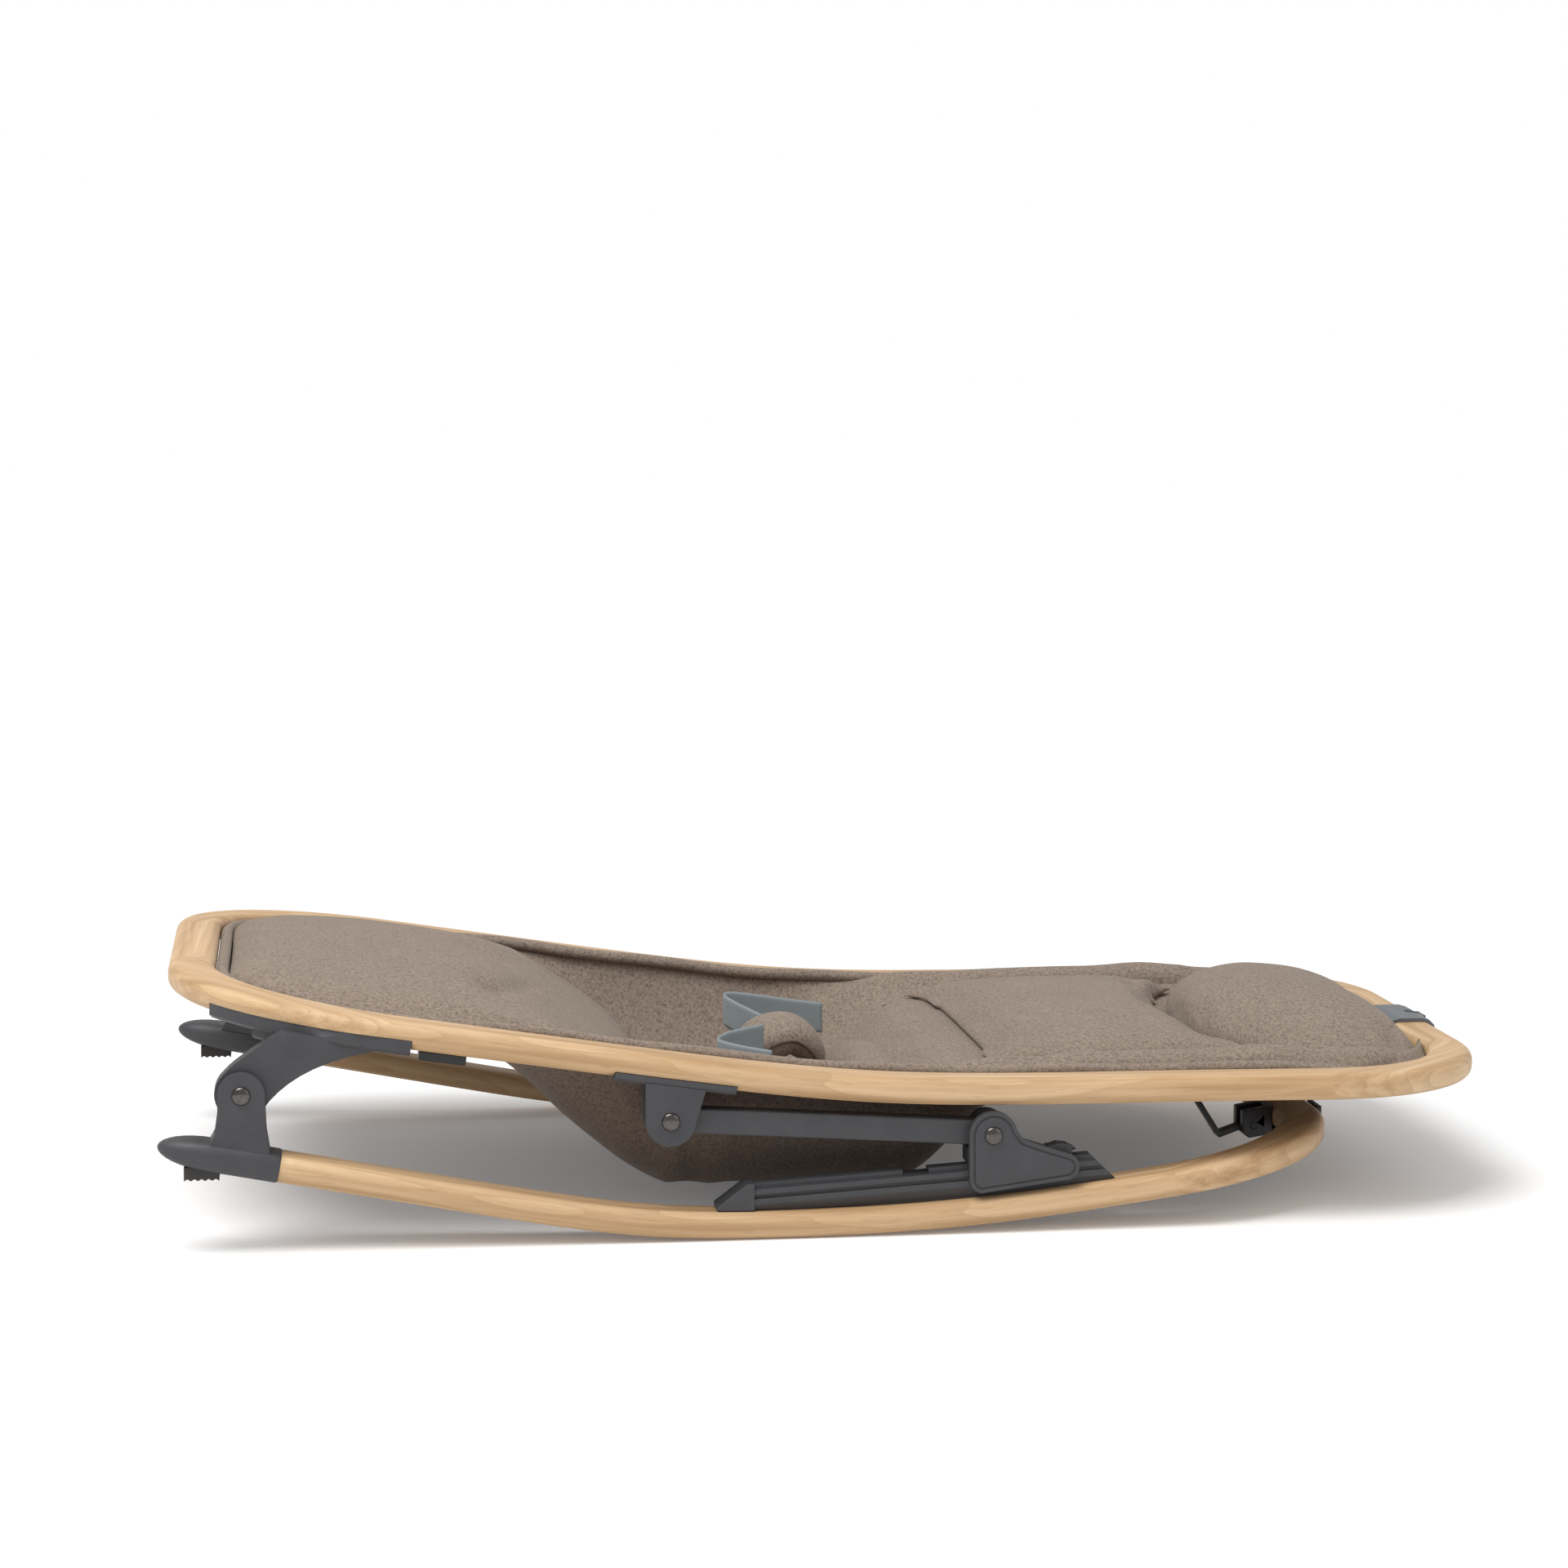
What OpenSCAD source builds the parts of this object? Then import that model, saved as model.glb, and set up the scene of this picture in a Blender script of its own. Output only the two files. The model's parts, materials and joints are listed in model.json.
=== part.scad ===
// Wooden baby bouncer. A seat ring is hinged over a rocking hoop at the foot end,
// and a pair of links on sliding locks holds its head end up. Shown folded flat.
// +X runs from the foot end to the head end, the child's left side is at -Y,
// and the origin is on the floor under the middle.

/* [Seat ring] */
// Length of the seat ring between its end bars' centre lines
seat_len = 771; // [700:1:925]
// Half width of the seat ring's centre line
seat_half_w = 196; // [160:1:236]
// Radius of the foot corners' centre line
foot_corner_r = 115; // [90:1:130]
// Radius of the head corners' centre line
head_corner_r = 104; // [90:1:130]
// Width of the wooden bar
bar_w = 28; // [24:0.5:34]
// Height of the wooden bar
bar_h = 16; // [14:0.5:20]
// Rounding of the bar's edges
bar_round = 6.5; // [4:0.5:7]
// Clear height between the hoop's top and the ring's underside at its level stretch
ring_clear = 58.2; // [54:0.1:76]
// Rise of the foot half, as a slope
foot_slope = 0.155; // [0.1:0.005:0.2]
// Drop of the head bar under the level stretch
head_drop = 3; // [0:0.5:12]

/* [Rocking hoop] */
// How much further out than the ring's centre line the hoop's runs
hoop_over = 2; // [0:0.5:6]
// Distance from the ring's head bar back to the hoop's head bar
hoop_setback = 93; // [70:1:140]
// Slope of the hoop's foot end
hoop_foot_slope = 0.193; // [0.12:0.005:0.22]
// Slope of the hoop's head end
hoop_head_slope = 0.14; // [0.1:0.005:0.17]

/* [Foot hinge] */
// Distance from the ring's foot bar to the hinge
hinge_inset = 30.3; // [26:0.5:40]
// Height of the hinge over the hoop's top
hinge_rise = 31; // [28:0.5:40]
// Radius of the hinge pins
pin_r = 4; // [3:0.1:5]
// Width of the hinge tongues, links included
tongue_w = 14; // [11:0.5:16]
// Thickness of the fork cheeks
cheek_t = 4.5; // [3:0.5:6]

/* [Links and locks] */
// Place of the link's upper hinge along the seat
bracket_x = -109; // [-130:1:-90]
// Drop of the upper hinge under the ring
bracket_drop = 22.2; // [19:0.2:26]
// Place of the link's lower hinge when folded
lock_x = 80; // [70:1:90]
// Height of the lower hinge over the rail
lock_rise = 18; // [16:0.2:22]
// Height of the link
link_h = 14.6; // [12:0.2:16]
// Height of the rail over the hoop at the origin
rail_h = 18.8; // [17:0.2:24]
// Width of the rail
rail_w = 18; // [15:0.5:22]
// Tilt of the rail in degrees
rail_tilt = 3.45; // [2:0.05:5]

/* [Soft parts] */
// Thickness of the seat cover's cloth and padding
cover_t = 5; // [3:0.5:8]
// Height of the hip pocket's bottom over the floor
pocket_z = 12; // [10:1:30]
// Width of the webbing
web_w = 20; // [15:1:25]
// Thickness of the webbing
web_t = 1.6; // [1.2:0.1:2.5]

/* [Head clip] */
// Half length of the clip along the head bar
clip_half_l = 27; // [15:1:40]
// Wall of the clip
clip_wall = 2.5; // [2:0.1:4]
// Radius of the socket for a toy bar
socket_r = 5; // [4:0.1:5.5]
// Depth of the socket
socket_depth = 18; // [14:1:19]

/* [Hidden] */
ring_level = ring_clear + 1.5 * bar_h;   // height of the ring's centre line at its level stretch

$fn = 48;
eps = 0.01;
fit = 0.05;           // radial clearance of a pin in its hole
seat_gap = 0.1;       // gap between a plate and the wood it is screwed to
cloth_gap = 1.8;      // gap between cloth and wood
pad_gap = 3.6;          // gap between the cover and a pad on it

end_shift = 0.6;      // centres the object between its toes and the head clip
foot_x = -seat_len / 2 + end_shift;
head_x = seat_len / 2 + end_shift;
hoop_head_x = head_x - hoop_setback;
hoop_half_w = seat_half_w + hoop_over;

wood = [0.86, 0.70, 0.50];
graphite = [0.27, 0.28, 0.29];
steel = [0.45, 0.43, 0.42];
dark_steel = [0.12, 0.12, 0.13];
nylon = [0.85, 0.85, 0.82];
clip_grey = [0.48, 0.51, 0.53];
rubber = [0.25, 0.24, 0.23];
cloth = [0.55, 0.49, 0.44];
webbing = [0.62, 0.67, 0.68];

// ---- curves ---------------------------------------------------------------

// A ramp that is 0 for negative d and d for positive d, softened over s
function ramp(d, s) = s * ln(1 + exp(d / s));
function blend(t) = let(c = min(max(t, 0), 1)) c * c * (3 - 2 * c);
function mix(a, b, t) = a + (b - a) * t;
function unit(v) = v / norm(v);

// Side profile of the seat ring: a level stretch, a rising foot half and a drooping head
bend_x = 10;
bend_soft = 40;
droop_x = 142;
function ring_z(x) = ring_level + foot_slope * ramp(bend_x - x, bend_soft)
    - head_drop * pow(max(x - droop_x, 0) / (head_x - droop_x), 2);

// Side profile of the hoop: two slopes that meet in the rocking curve
hoop_foot_x = -118;
hoop_foot_soft = 25;
hoop_rear_x = 56;
hoop_rear_soft = 40;
function hoop_rise(x) = hoop_foot_slope * ramp(hoop_foot_x - x, hoop_foot_soft)
    + hoop_head_slope * ramp(x - hoop_rear_x, hoop_rear_soft);
hoop_low = min([for (x = [-120:2:60]) hoop_rise(x)]);
function hoop_z(x) = bar_h / 2 + hoop_rise(x) - hoop_low;
function hoop_top(x) = hoop_z(x) + bar_h / 2;

// A station on a bar's centre line: [plan point, plan direction outwards]
arc_steps = 9;
straight_steps = 22;
function arc(cx, cy, r, a0, a1) =
    [for (i = [0:arc_steps]) let(a = mix(a0, a1, i / arc_steps))
        [[cx + r * cos(a), cy + r * sin(a)], [cos(a), sin(a)]]];
function side(x0, x1, y) =
    [for (i = [1:straight_steps - 1]) [[mix(x0, x1, i / straight_steps), y], [0, sign(y)]]];
function ring_plan(hw = seat_half_w, x0 = foot_x, x1 = head_x, r = foot_corner_r, s = head_corner_r) = concat(
    arc(x0 + r, -hw + r, r, 180, 270), side(x0 + r, x1 - s, -hw),
    arc(x1 - s, -hw + s, s, -90, 0), arc(x1 - s, hw - s, s, 0, 90),
    side(x1 - s, x0 + r, hw), arc(x0 + r, hw - r, r, 90, 180));

// ---- sections and skins -----------------------------------------------------

// Outline of the wooden bar: [outwards, up], grown by g
function bar_section(g = 0, steps = 3) = [for (q = [0:3], i = [0:steps])
    let(a = q * 90 + i * 90 / steps, r = bar_round + g,
        sx = (q == 0 || q == 3) ? 1 : -1, sy = q < 2 ? 1 : -1)
    [sx * (bar_w / 2 - bar_round) + r * cos(a), sy * (bar_h / 2 - bar_round) + r * sin(a)]];

// Puts a section on a station, with its up direction square to the bar in side view
function place(st, z, slope, section) =
    let(n = [st[1][0], st[1][1], 0], t0 = [-st[1][1], st[1][0], 0],
        t = unit([t0[0], t0[1], slope * t0[0]]), u = cross(n, t))
    [for (p = section) [st[0][0], st[0][1], z] + p[0] * n + p[1] * u];

module skin(loops, closed = false) {
    n = len(loops[0]);
    m = len(loops);
    walls = [for (i = [0:(closed ? m - 1 : m - 2)], j = [0:n - 1], k = [0, 1])
        let(a = i * n + j, b = i * n + (j + 1) % n,
            c = ((i + 1) % m) * n + (j + 1) % n, d = ((i + 1) % m) * n + j)
        k == 0 ? [a, b, c] : [a, c, d]];
    ends = closed ? [] : [[for (j = [n - 1:-1:0]) j], [for (j = [0:n - 1]) (m - 1) * n + j]];
    polyhedron(points = [for (l = loops, p = l) p], faces = concat(walls, ends), convexity = 8);
}

function slope_of(f, x) = (f(x + 0.5) - f(x - 0.5));

// Draws an outline of the side view between two distances from the middle plane
module slab(w0, w1) translate([0, -w0, 0]) rotate([90, 0, 0]) linear_extrude(w1 - w0) children();
// A round bar across the seat at p = [x, z], between two distances from the middle plane
module across(p, r, w0, w1) translate([p[0], -w0, p[1]]) rotate([90, 0, 0]) cylinder(r = r, h = w1 - w0);
module right_side() mirror([0, 1, 0]) children();

// ---- places that several parts share ---------------------------------------

hinge = [foot_x + hinge_inset, hoop_top(foot_x + hinge_inset) + hinge_rise];
upper = [bracket_x, ring_z(bracket_x) - bar_h / 2 - bracket_drop];
function rail_top(x) = hoop_top(0) + rail_h + x * tan(rail_tilt);
lower = [lock_x, rail_top(lock_x) + lock_rise];
tongue_mid = hoop_half_w - 1;
tongue_in = tongue_mid - tongue_w / 2;
tongue_out = tongue_mid + tongue_w / 2;
washer_t = 0.9;
washer_gap = 0.05;
cheek_gap = washer_t + 2 * washer_gap;

// Rebates in the ring's underside: [from x, to x, depth]
arm_from = foot_x + 23;
arm_to = foot_x + 128;
arm_depth = 6;
bracket_len = 71;
bracket_depth = 3;
rebates = [[arm_from, arm_to, arm_depth],
    [bracket_x - bracket_len / 2 + 4, bracket_x + bracket_len / 2 + 4, bracket_depth]];
function rebate(x) = max([for (r = rebates) x > r[0] && x < r[1] ? r[2] : 0]);
rebate_edges = [for (r = rebates, e = [0, 1], k = [-1, 1]) r[e] + k * 0.1];

// Adds stations at the rebates' ends, so that their shoulders are square
function lerp_station(a, b, x) = let(t = (x - a[0][0]) / (b[0][0] - a[0][0]))
    [mix(a[0], b[0], t), unit(mix(a[1], b[1], t))];
function with_edges(plan, edges) = [for (i = [0:len(plan) - 1])
    let(a = plan[i], b = plan[(i + 1) % len(plan)], fwd = b[0][0] > a[0][0],
        lo = min(a[0][0], b[0][0]), hi = max(a[0][0], b[0][0]),
        hit = [for (e = edges) if (e > lo + eps && e < hi - eps) e],
        run = fwd ? hit : [for (k = [len(hit) - 1:-1:0]) hit[k]])
    each concat([a], [for (e = run) lerp_station(a, b, e)])];

// ---- wooden bars ------------------------------------------------------------

mortise_w = 9;        // half width of the notch that holds the clip's socket
mortise_s = 1.5;      // how far out the wood still reaches there
head_bar = [for (y = [-mortise_w - 0.1, -mortise_w + 0.1, mortise_w - 0.1, mortise_w + 0.1])
    [[head_x, y], [1, 0]]];
module seat_ring() color(wood) {
    plan = ring_plan();
    half = len(plan) / 2;
    stations = with_edges(concat([for (i = [0:half - 1]) plan[i]], head_bar,
        [for (i = [half:len(plan) - 1]) plan[i]]), rebate_edges);
    skin([for (st = stations)
        let(x = st[0][0], up = -bar_h / 2 + rebate(x),
            out = x > head_x - eps && abs(st[0][1]) < mortise_w ? mortise_s : bar_w)
        place(st, ring_z(x), slope_of(function(x) ring_z(x), x),
            [for (p = bar_section()) [min(p[0], out), max(p[1], up)]])], closed = true);
}

hoop_corner_r = 105;
tenon_g = -3.5;
tenon_len = 34;
cap_len = 21;         // from the hinge to the cap's open end
hoop_end_x = hinge[0] + cap_len;
hoop_ends = [hoop_end_x - tenon_len, hoop_end_x - 0.1, hoop_end_x + 0.1];
function hoop_side(y) = [for (x = concat(hoop_ends, [for (i = [1:straight_steps])
    mix(hoop_end_x, hoop_head_x - hoop_corner_r, i / (straight_steps + 1))])) [[x, y], [0, sign(y)]]];
module base_hoop() color(wood) {
    near = hoop_side(-hoop_half_w);
    far = hoop_side(hoop_half_w);
    r = hoop_corner_r;
    stations = concat(near, arc(hoop_head_x - r, -hoop_half_w + r, r, -90, 0),
        arc(hoop_head_x - r, hoop_half_w - r, r, 0, 90), [for (i = [len(far) - 1:-1:0]) far[i]]);
    skin([for (st = stations) place(st, hoop_z(st[0][0]), slope_of(function(x) hoop_z(x), st[0][0]),
        bar_section(st[0][0] < hoop_end_x ? tenon_g : 0))]);
}

// ---- foot caps and pads -----------------------------------------------------

toe_len = 48;         // from the hinge to the toe's tip
toe_round = 30;       // length of the rounded toe
fork_in = tongue_in - cheek_gap - cheek_t;
fork_out = tongue_out + cheek_gap + cheek_t;
knuckle_r = 15.3;
cheek_r = 13.5;
shoulder = 9;         // from the hinge down to the fork's shoulders

function scaled(section, k) = [for (p = section) p * k];
function cap_loop(x, section) = place([[x, -hoop_half_w], [0, -1]], hoop_z(x),
    slope_of(function(x) hoop_z(x), x), section);
module foot_cap() color(graphite) difference() {
    union() {
        skin(concat(
            [for (i = [8:-1:1]) let(t = sin(i * 90 / 8.35))
                cap_loop(hinge[0] - toe_len + toe_round * (1 - t),
                    scaled(bar_section(0.6), sqrt(1 - t * t)))],
            [for (x = [hinge[0] - toe_len + toe_round, hoop_end_x - 1]) cap_loop(x, bar_section(0.6))],
            [cap_loop(hoop_end_x, bar_section(0.1))],
            [for (x = [hoop_end_x, hoop_end_x - tenon_len - 0.3]) cap_loop(x, bar_section(tenon_g + 0.1))]));
        slab(fork_in, fork_out) polygon([
            [hinge[0] - 19, hoop_top(hinge[0] - 19) - 2], [hinge[0] - 15.5, hoop_top(hinge[0]) + 8],
            [hinge[0] - 13.5, hinge[1] - shoulder], [hinge[0] + 13.5, hinge[1] - shoulder],
            [hinge[0] + 14, hoop_top(hinge[0]) + 8], [hinge[0] + 16, hoop_top(hinge[0] + 16) - 2]]);
        for (w = [[fork_in, fork_in + cheek_t], [fork_out - cheek_t, fork_out]]) {
            across(hinge, cheek_r, w[0], w[1]);
            slab(w[0], w[1]) polygon([hinge + [-cheek_r, -shoulder - 1], hinge + [-cheek_r, 0],
                hinge + [cheek_r, 0], hinge + [cheek_r, -shoulder - 1]]);
        }
    }
    across(hinge, knuckle_r + 0.7, tongue_in - cheek_gap, tongue_out + cheek_gap);
    across(hinge, pin_r + fit, fork_in - 1, fork_out + 1);
}

pad_len = 20;
pad_h = 8;
pad_rib = 1.2;
module foot_pad() color(rubber) {
    x0 = hinge[0] - 33;
    z0 = hoop_z(x0 + pad_len / 2) - bar_h / 2 + 1.5;
    slab(hoop_half_w - 9, hoop_half_w + 9) polygon(concat([[x0, z0], [x0 + pad_len, z0]],
        [for (i = [10:-1:0]) [x0 + i * pad_len / 10, z0 - pad_h + (i % 2) * pad_rib]]));
}

// ---- seat arms and brackets -------------------------------------------------

// Plate that follows the underside of the ring's left side bar
function near_stations(x0, x1) = [for (st = with_edges(ring_plan(), [x0, x1]))
    if (st[0][1] < 0 && st[0][0] > x0 - eps && st[0][0] < x1 + eps) st];
module under_ring(x0, x1, section)
    skin([for (st = near_stations(x0, x1))
        place(st, ring_z(st[0][0]), slope_of(function(x) ring_z(x), st[0][0]), section)]);
// Section of such a plate, from h0 up to h1, with its lower edges rounded off
function plate_section(half, h0, h1, c = 2) = [[-half + c, h0], [half - c, h0], [half, h0 + c],
    [half, h1], [-half, h1], [-half, h0 + c]];
function under(x) = ring_z(x) - bar_h / 2;

curve_steps = 10;
function bezier(a, b, c, d) = [for (i = [0:curve_steps]) let(t = i / curve_steps, s = 1 - t)
    s * s * s * a + 3 * s * s * t * b + 3 * s * t * t * c + t * t * t * d];
plate_half = bar_w / 2 - 0.3;
module seat_arm() color(graphite) difference() {
    union() {
        under_ring(arm_from + 0.3, arm_to - 0.3,
            plate_section(plate_half, -bar_h / 2 - 3, -bar_h / 2 + arm_depth - seat_gap));
        under_ring(hinge[0] + 14, hinge[0] + 58, plate_section(plate_half - 3, -bar_h / 2 - 9, -bar_h / 2));
        slab(tongue_in, tongue_out) polygon(concat(
            bezier(hinge + [-15, 2], hinge + [-12, 15], hinge + [2, 21],
                [hinge[0] + 23, under(hinge[0] + 23) + 0.5]),
            bezier([arm_to - 3, under(arm_to - 3) + 0.5], [hinge[0] + 50, under(hinge[0] + 50) - 8],
                hinge + [24, 8], hinge + [12, -9.3])));
        across(hinge, knuckle_r, tongue_in, tongue_out);
    }
    across(hinge, pin_r + fit, tongue_in - 1, tongue_out + 1);
}

ear_r = 14.5;
module mid_bracket() color(graphite) difference() {
    union() {
        under_ring(rebates[1][0] + 0.3, rebates[1][1] - 0.3,
            plate_section(plate_half, -bar_h / 2 - 2.2, -bar_h / 2 + bracket_depth - seat_gap));
        for (w = [[fork_in, fork_in + cheek_t], [fork_out - cheek_t, fork_out]]) {
            across(upper, ear_r, w[0], w[1]);
            slab(w[0], w[1]) polygon([upper + [-ear_r, 0], [upper[0] - ear_r, under(upper[0] - ear_r) - 1],
                [upper[0] + 20.5, under(upper[0] + 20.5) - 1], upper + ear_r * [cos(-27), sin(-27)]]);
        }
    }
    across(upper, pin_r + fit, fork_in - 1, fork_out + 1);
}

// Domed pin across a fork
dome_h = 2.4;
head_r = 5.3;
module domed_pin(p, w0, w1) {
    across(p, pin_r, w0, w1);
    for (k = [[w1, 90], [w0, -90]])
        translate([p[0], -k[0], p[1]]) rotate([k[1], 0, 0]) rivet_head();
}
module rivet_head() rotate_extrude() polygon(concat([[0, 0], [head_r, 0]],
    [for (i = [0:6]) let(a = i * 15) [max(head_r * cos(a), 0), 0.4 + (dome_h - 0.4) * sin(a)]]));
module washers(p) for (w = [tongue_in - washer_gap - washer_t, tongue_out + washer_gap])
    difference() {
        across(p, 9, w, w + washer_t);
        across(p, pin_r + fit, w - 1, w + washer_t + 1);
    }

// Countersunk wood screw that points up at p = [x, y, z] of its head
module wood_screw(p, l, r = 2) translate(p) {
    cylinder(r1 = r * 2, r2 = r, h = r * 1.2);
    translate([0, 0, r * 1.2]) cylinder(r = r, h = l);
}

// ---- links, rails and sliders -----------------------------------------------

link_r = link_h / 2;
module link() color(graphite) difference() {
    d = lower - upper;
    slab(tongue_in, tongue_out) translate(upper) rotate(atan2(d[1], d[0]))
        polygon(concat(arc2([0, 0], link_r, 90, 270, 16), arc2([norm(d), 0], link_r, -90, 90, 16)));
    for (p = [upper, lower]) across(p, pin_r + fit, tongue_in - 1, tongue_out + 1);
}

rail_x0 = -60;
rail_x1 = lock_x + 59;
rail_bevel = 15;
cap_ramp = 22;
rib_h = 3;
rail_half = rail_w / 2;
rail_mid = tongue_mid;
groove_d = 2;
groove_h0 = 6;
groove_h1 = 8.6;
key_tooth = [43, 48.5];      // tooth of the release key, from the slider's hinge
notch_play = 1.2;
stop_notch = [27.7, 43.2];   // notch that holds the raised seat
// A section [outwards, over the rail's top] drawn along the rail
module along_rail(x0, x1) translate([0, -rail_mid, rail_top(0)]) rotate([0, -rail_tilt, 0])
    translate([x0, 0, 0]) rotate([90, 0, 90]) mirror([1, 0]) linear_extrude(x1 - x0) children();
module rail() color(graphite) difference() {
    intersection() {
        slab(rail_mid - rail_half - 1, rail_mid + rail_half + 1) polygon(concat(
            [[rail_x0, rail_top(rail_x0) + 5], [rail_x1 + 0.3, rail_top(rail_x1) + 0.3]],
            [for (i = [0:14]) let(x = mix(rail_x1 + rail_bevel, rail_x0, i / 14)) [x, hoop_top(x) + 0.25]]));
        along_rail(rail_x0 - 10, rail_x1 + rail_bevel + 10) polygon([
            [5, 0], [5, -rib_h], [rail_half, -rib_h], [rail_half, -12], [rail_half - 3, -18],
            [rail_half - 3, -40], [-rail_half, -40], [-rail_half, -rib_h], [-5, -rib_h], [-5, 0]]);
    }
    for (n = [stop_notch, [lock_x + key_tooth[0] - notch_play - 1, lock_x + key_tooth[1] + notch_play]])
        along_rail(n[0], n[1]) translate([-key_half, -rib_h - 0.2])
            square([2 * key_half, rib_h + 1]);
    for (s = [rail_half - groove_d, -rail_half - 1]) along_rail(rail_x0 - 1, rail_x1 + rail_bevel)
        translate([s, -groove_h1]) square([groove_d + 1, groove_h1 - groove_h0]);
}
module rail_end_cap() color(graphite) slab(rail_mid - rail_half - 1, rail_mid + rail_half + 1) polygon([
    each [for (i = [0:4]) let(x = mix(rail_x0 - cap_ramp, rail_x0 - 0.05, i / 4)) [x, hoop_top(x) + 0.25]],
    [rail_x0 - 0.05, rail_top(rail_x0) + 0.6], [rail_x0 - 4, rail_top(rail_x0) + 0.6],
    [rail_x0 - cap_ramp, hoop_top(rail_x0 - cap_ramp) + 2.5]]);

slider_gap = 0.5;
slider_cheek = 5;
slider_in = rail_mid - rail_half - slider_gap - 4;
slider_out = rail_mid + rail_half + slider_gap + slider_cheek;
function arc2(c, r, a0, a1, n = 8) = [for (i = [0:n]) let(a = mix(a0, a1, i / n)) c + r * [cos(a), sin(a)]];
slider_outline = concat(arc2([0, 0], 14.2, 180, 12, 16), [[18, -2.6], [24.5, -5.4], [32, -7.9]],
    arc2([43.3, -19.6], 7.8, 62, -72), arc2([-6, -26], 8, -98, -180, 6));
// Moves every edge of a closed outline inwards by d
function inset(pts, d) = let(n = len(pts)) [for (i = [0:n - 1])
    let(a = unit(pts[i] - pts[(i + n - 1) % n]), b = unit(pts[(i + 1) % n] - pts[i]),
        m = unit([a[1] + b[1], -a[0] - b[0]]))
    pts[i] + m * d / max(m * [a[1], -a[0]], 0.3)];
key_hinge = [36, -12.2];
key_pin_r = 1.5;
rib_play = 0.3;
module slider() color(graphite) difference() {
    union() {
        slab(slider_out - slider_cheek, slider_out) translate(lower) polygon(slider_outline);
        slab(slider_in, slider_in + 4) translate(lower) polygon(inset(slider_outline, 2.5));
        slab(slider_in, slider_out) polygon([lower + [-13.5, -8.7], lower + [-8, -8.7],
            [lower[0] - 8, rail_top(lower[0] - 8) + 0.5],
            [lower[0] - 13.5, rail_top(lower[0] - 13.5) + 0.5]]);
        for (s = [rail_half - groove_d + rib_play, -rail_half - 1])
            along_rail(lower[0] - 10, lower[0] + 40) translate([s, -groove_h1 + rib_play])
                square([groove_d + 1 - rib_play, groove_h1 - groove_h0 - 2 * rib_play]);
    }
    slab(slider_out - 0.8, slider_out + 1) translate(lower) difference() {
        polygon(inset(slider_outline, 2.2));
        polygon(inset(slider_outline, 3.4));
    }
    across(lower, pin_r + fit, slider_in - 1, slider_out + 1);
    across(lower + key_hinge, key_pin_r + fit, slider_in + 1.5, slider_out - 1.5);
}

key_half = rail_half - 3;
key_r = 2.9;
function over_rail(x) = rail_top(lower[0] + x) - lower[1] + 0.4;
key_drop = 12;               // how far the tooth swings down into a notch, in degrees
// Height of the key's belly over the rib, so that it stays clear when the tooth drops
function key_lift(x) = 0.5 + (x - key_hinge[0]) * sin(key_drop);
module release_key() color(graphite) difference() {
    union() {
        across(lower + key_hinge, key_r, rail_mid - key_half, rail_mid + key_half);
        slab(rail_mid - key_half, rail_mid + key_half) translate(lower) polygon([
            key_hinge + [-1, 2.7], [40, -7.6], [46, -8.2], [50.5, -10.4],
            [51, over_rail(51) + key_lift(51)],
            [key_tooth[1], over_rail(key_tooth[1]) + key_lift(key_tooth[1])],
            [key_tooth[1], over_rail(key_tooth[1])], [key_tooth[0] + 0.5, over_rail(key_tooth[0] + 0.5)],
            [key_tooth[0], over_rail(key_tooth[0]) + key_lift(key_tooth[0])],
            [key_hinge[0], over_rail(key_hinge[0]) + key_lift(key_hinge[0])]]);
    }
    across(lower + key_hinge, key_pin_r + fit, rail_mid - key_half - 1, rail_mid + key_half + 1);
}
spring_coils = 3;
spring_wire = 0.5;
module key_spring() for (i = [0:spring_coils - 1])
    translate([lower[0] + key_hinge[0], -(rail_mid - key_half - 0.7 - i * 1.02), lower[1] + key_hinge[1]])
        rotate([90, 0, 0]) rotate_extrude() translate([2.2, 0]) circle(r = spring_wire, $fn = 16);

// ---- head clip --------------------------------------------------------------

module head_clip() color(clip_grey) difference() {
    z = ring_z(head_x);
    st = function(y) [[head_x, y], [1, 0]];
    union() {
        skin([for (p = [[-1, seat_gap], [-1, clip_wall], [1, clip_wall], [1, seat_gap]])
            place(st(p[0] * clip_half_l), z, 0, bar_section(p[1]))], closed = true);
        translate([head_x + mortise_s + 0.2, -mortise_w + 0.3, z - bar_h / 2 - 0.5])
            cube([bar_w / 2 - mortise_s + 1, 2 * mortise_w - 0.6, bar_h + 1.5]);
    }
    translate([socket_x, 0, z + bar_h / 2 + clip_wall - socket_depth])
        cylinder(r = socket_r, h = socket_depth + 1);
}
socket_x = head_x + 8.3;

// ---- stand --------------------------------------------------------------------

stand_pivot = [hoop_head_x - 26, hoop_z(hoop_head_x) - 5];
stand_w0 = 66;
stand_w1 = 90;
stand_leg = [stand_w0 + 7, stand_w1 - 7];
stand_pin_r = 2;
stand_t = 3;
stand_tip = stand_pivot + [-37, 20];
module stand_clamp() color(dark_steel) difference() {
    zc = hoop_z(hoop_head_x);
    x0 = hoop_head_x - bar_w / 2 - 0.2;
    x1 = hoop_head_x + bar_w / 2 + 0.2;
    z0 = zc - bar_h / 2 - 0.3;
    slab(stand_w0, stand_w1) polygon([stand_pivot + [-7, -5], stand_pivot + [-3, -8], [x0, z0 - 2.5],
        [x1 + 1, z0 - 2.5], [x1 + stand_t, z0], [x1 + stand_t, zc + 6], [x1, zc + 6], [x1, z0],
        [x0, z0], [x0, zc + 7], stand_pivot + [-7, 9]]);
    slab(stand_leg[0] - 0.5, stand_leg[1] + 0.5) translate(stand_pivot) square([16, 30], center = true);
    across(stand_pivot, stand_pin_r + fit, stand_w0 - 1, stand_w1 + 1);
}
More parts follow.
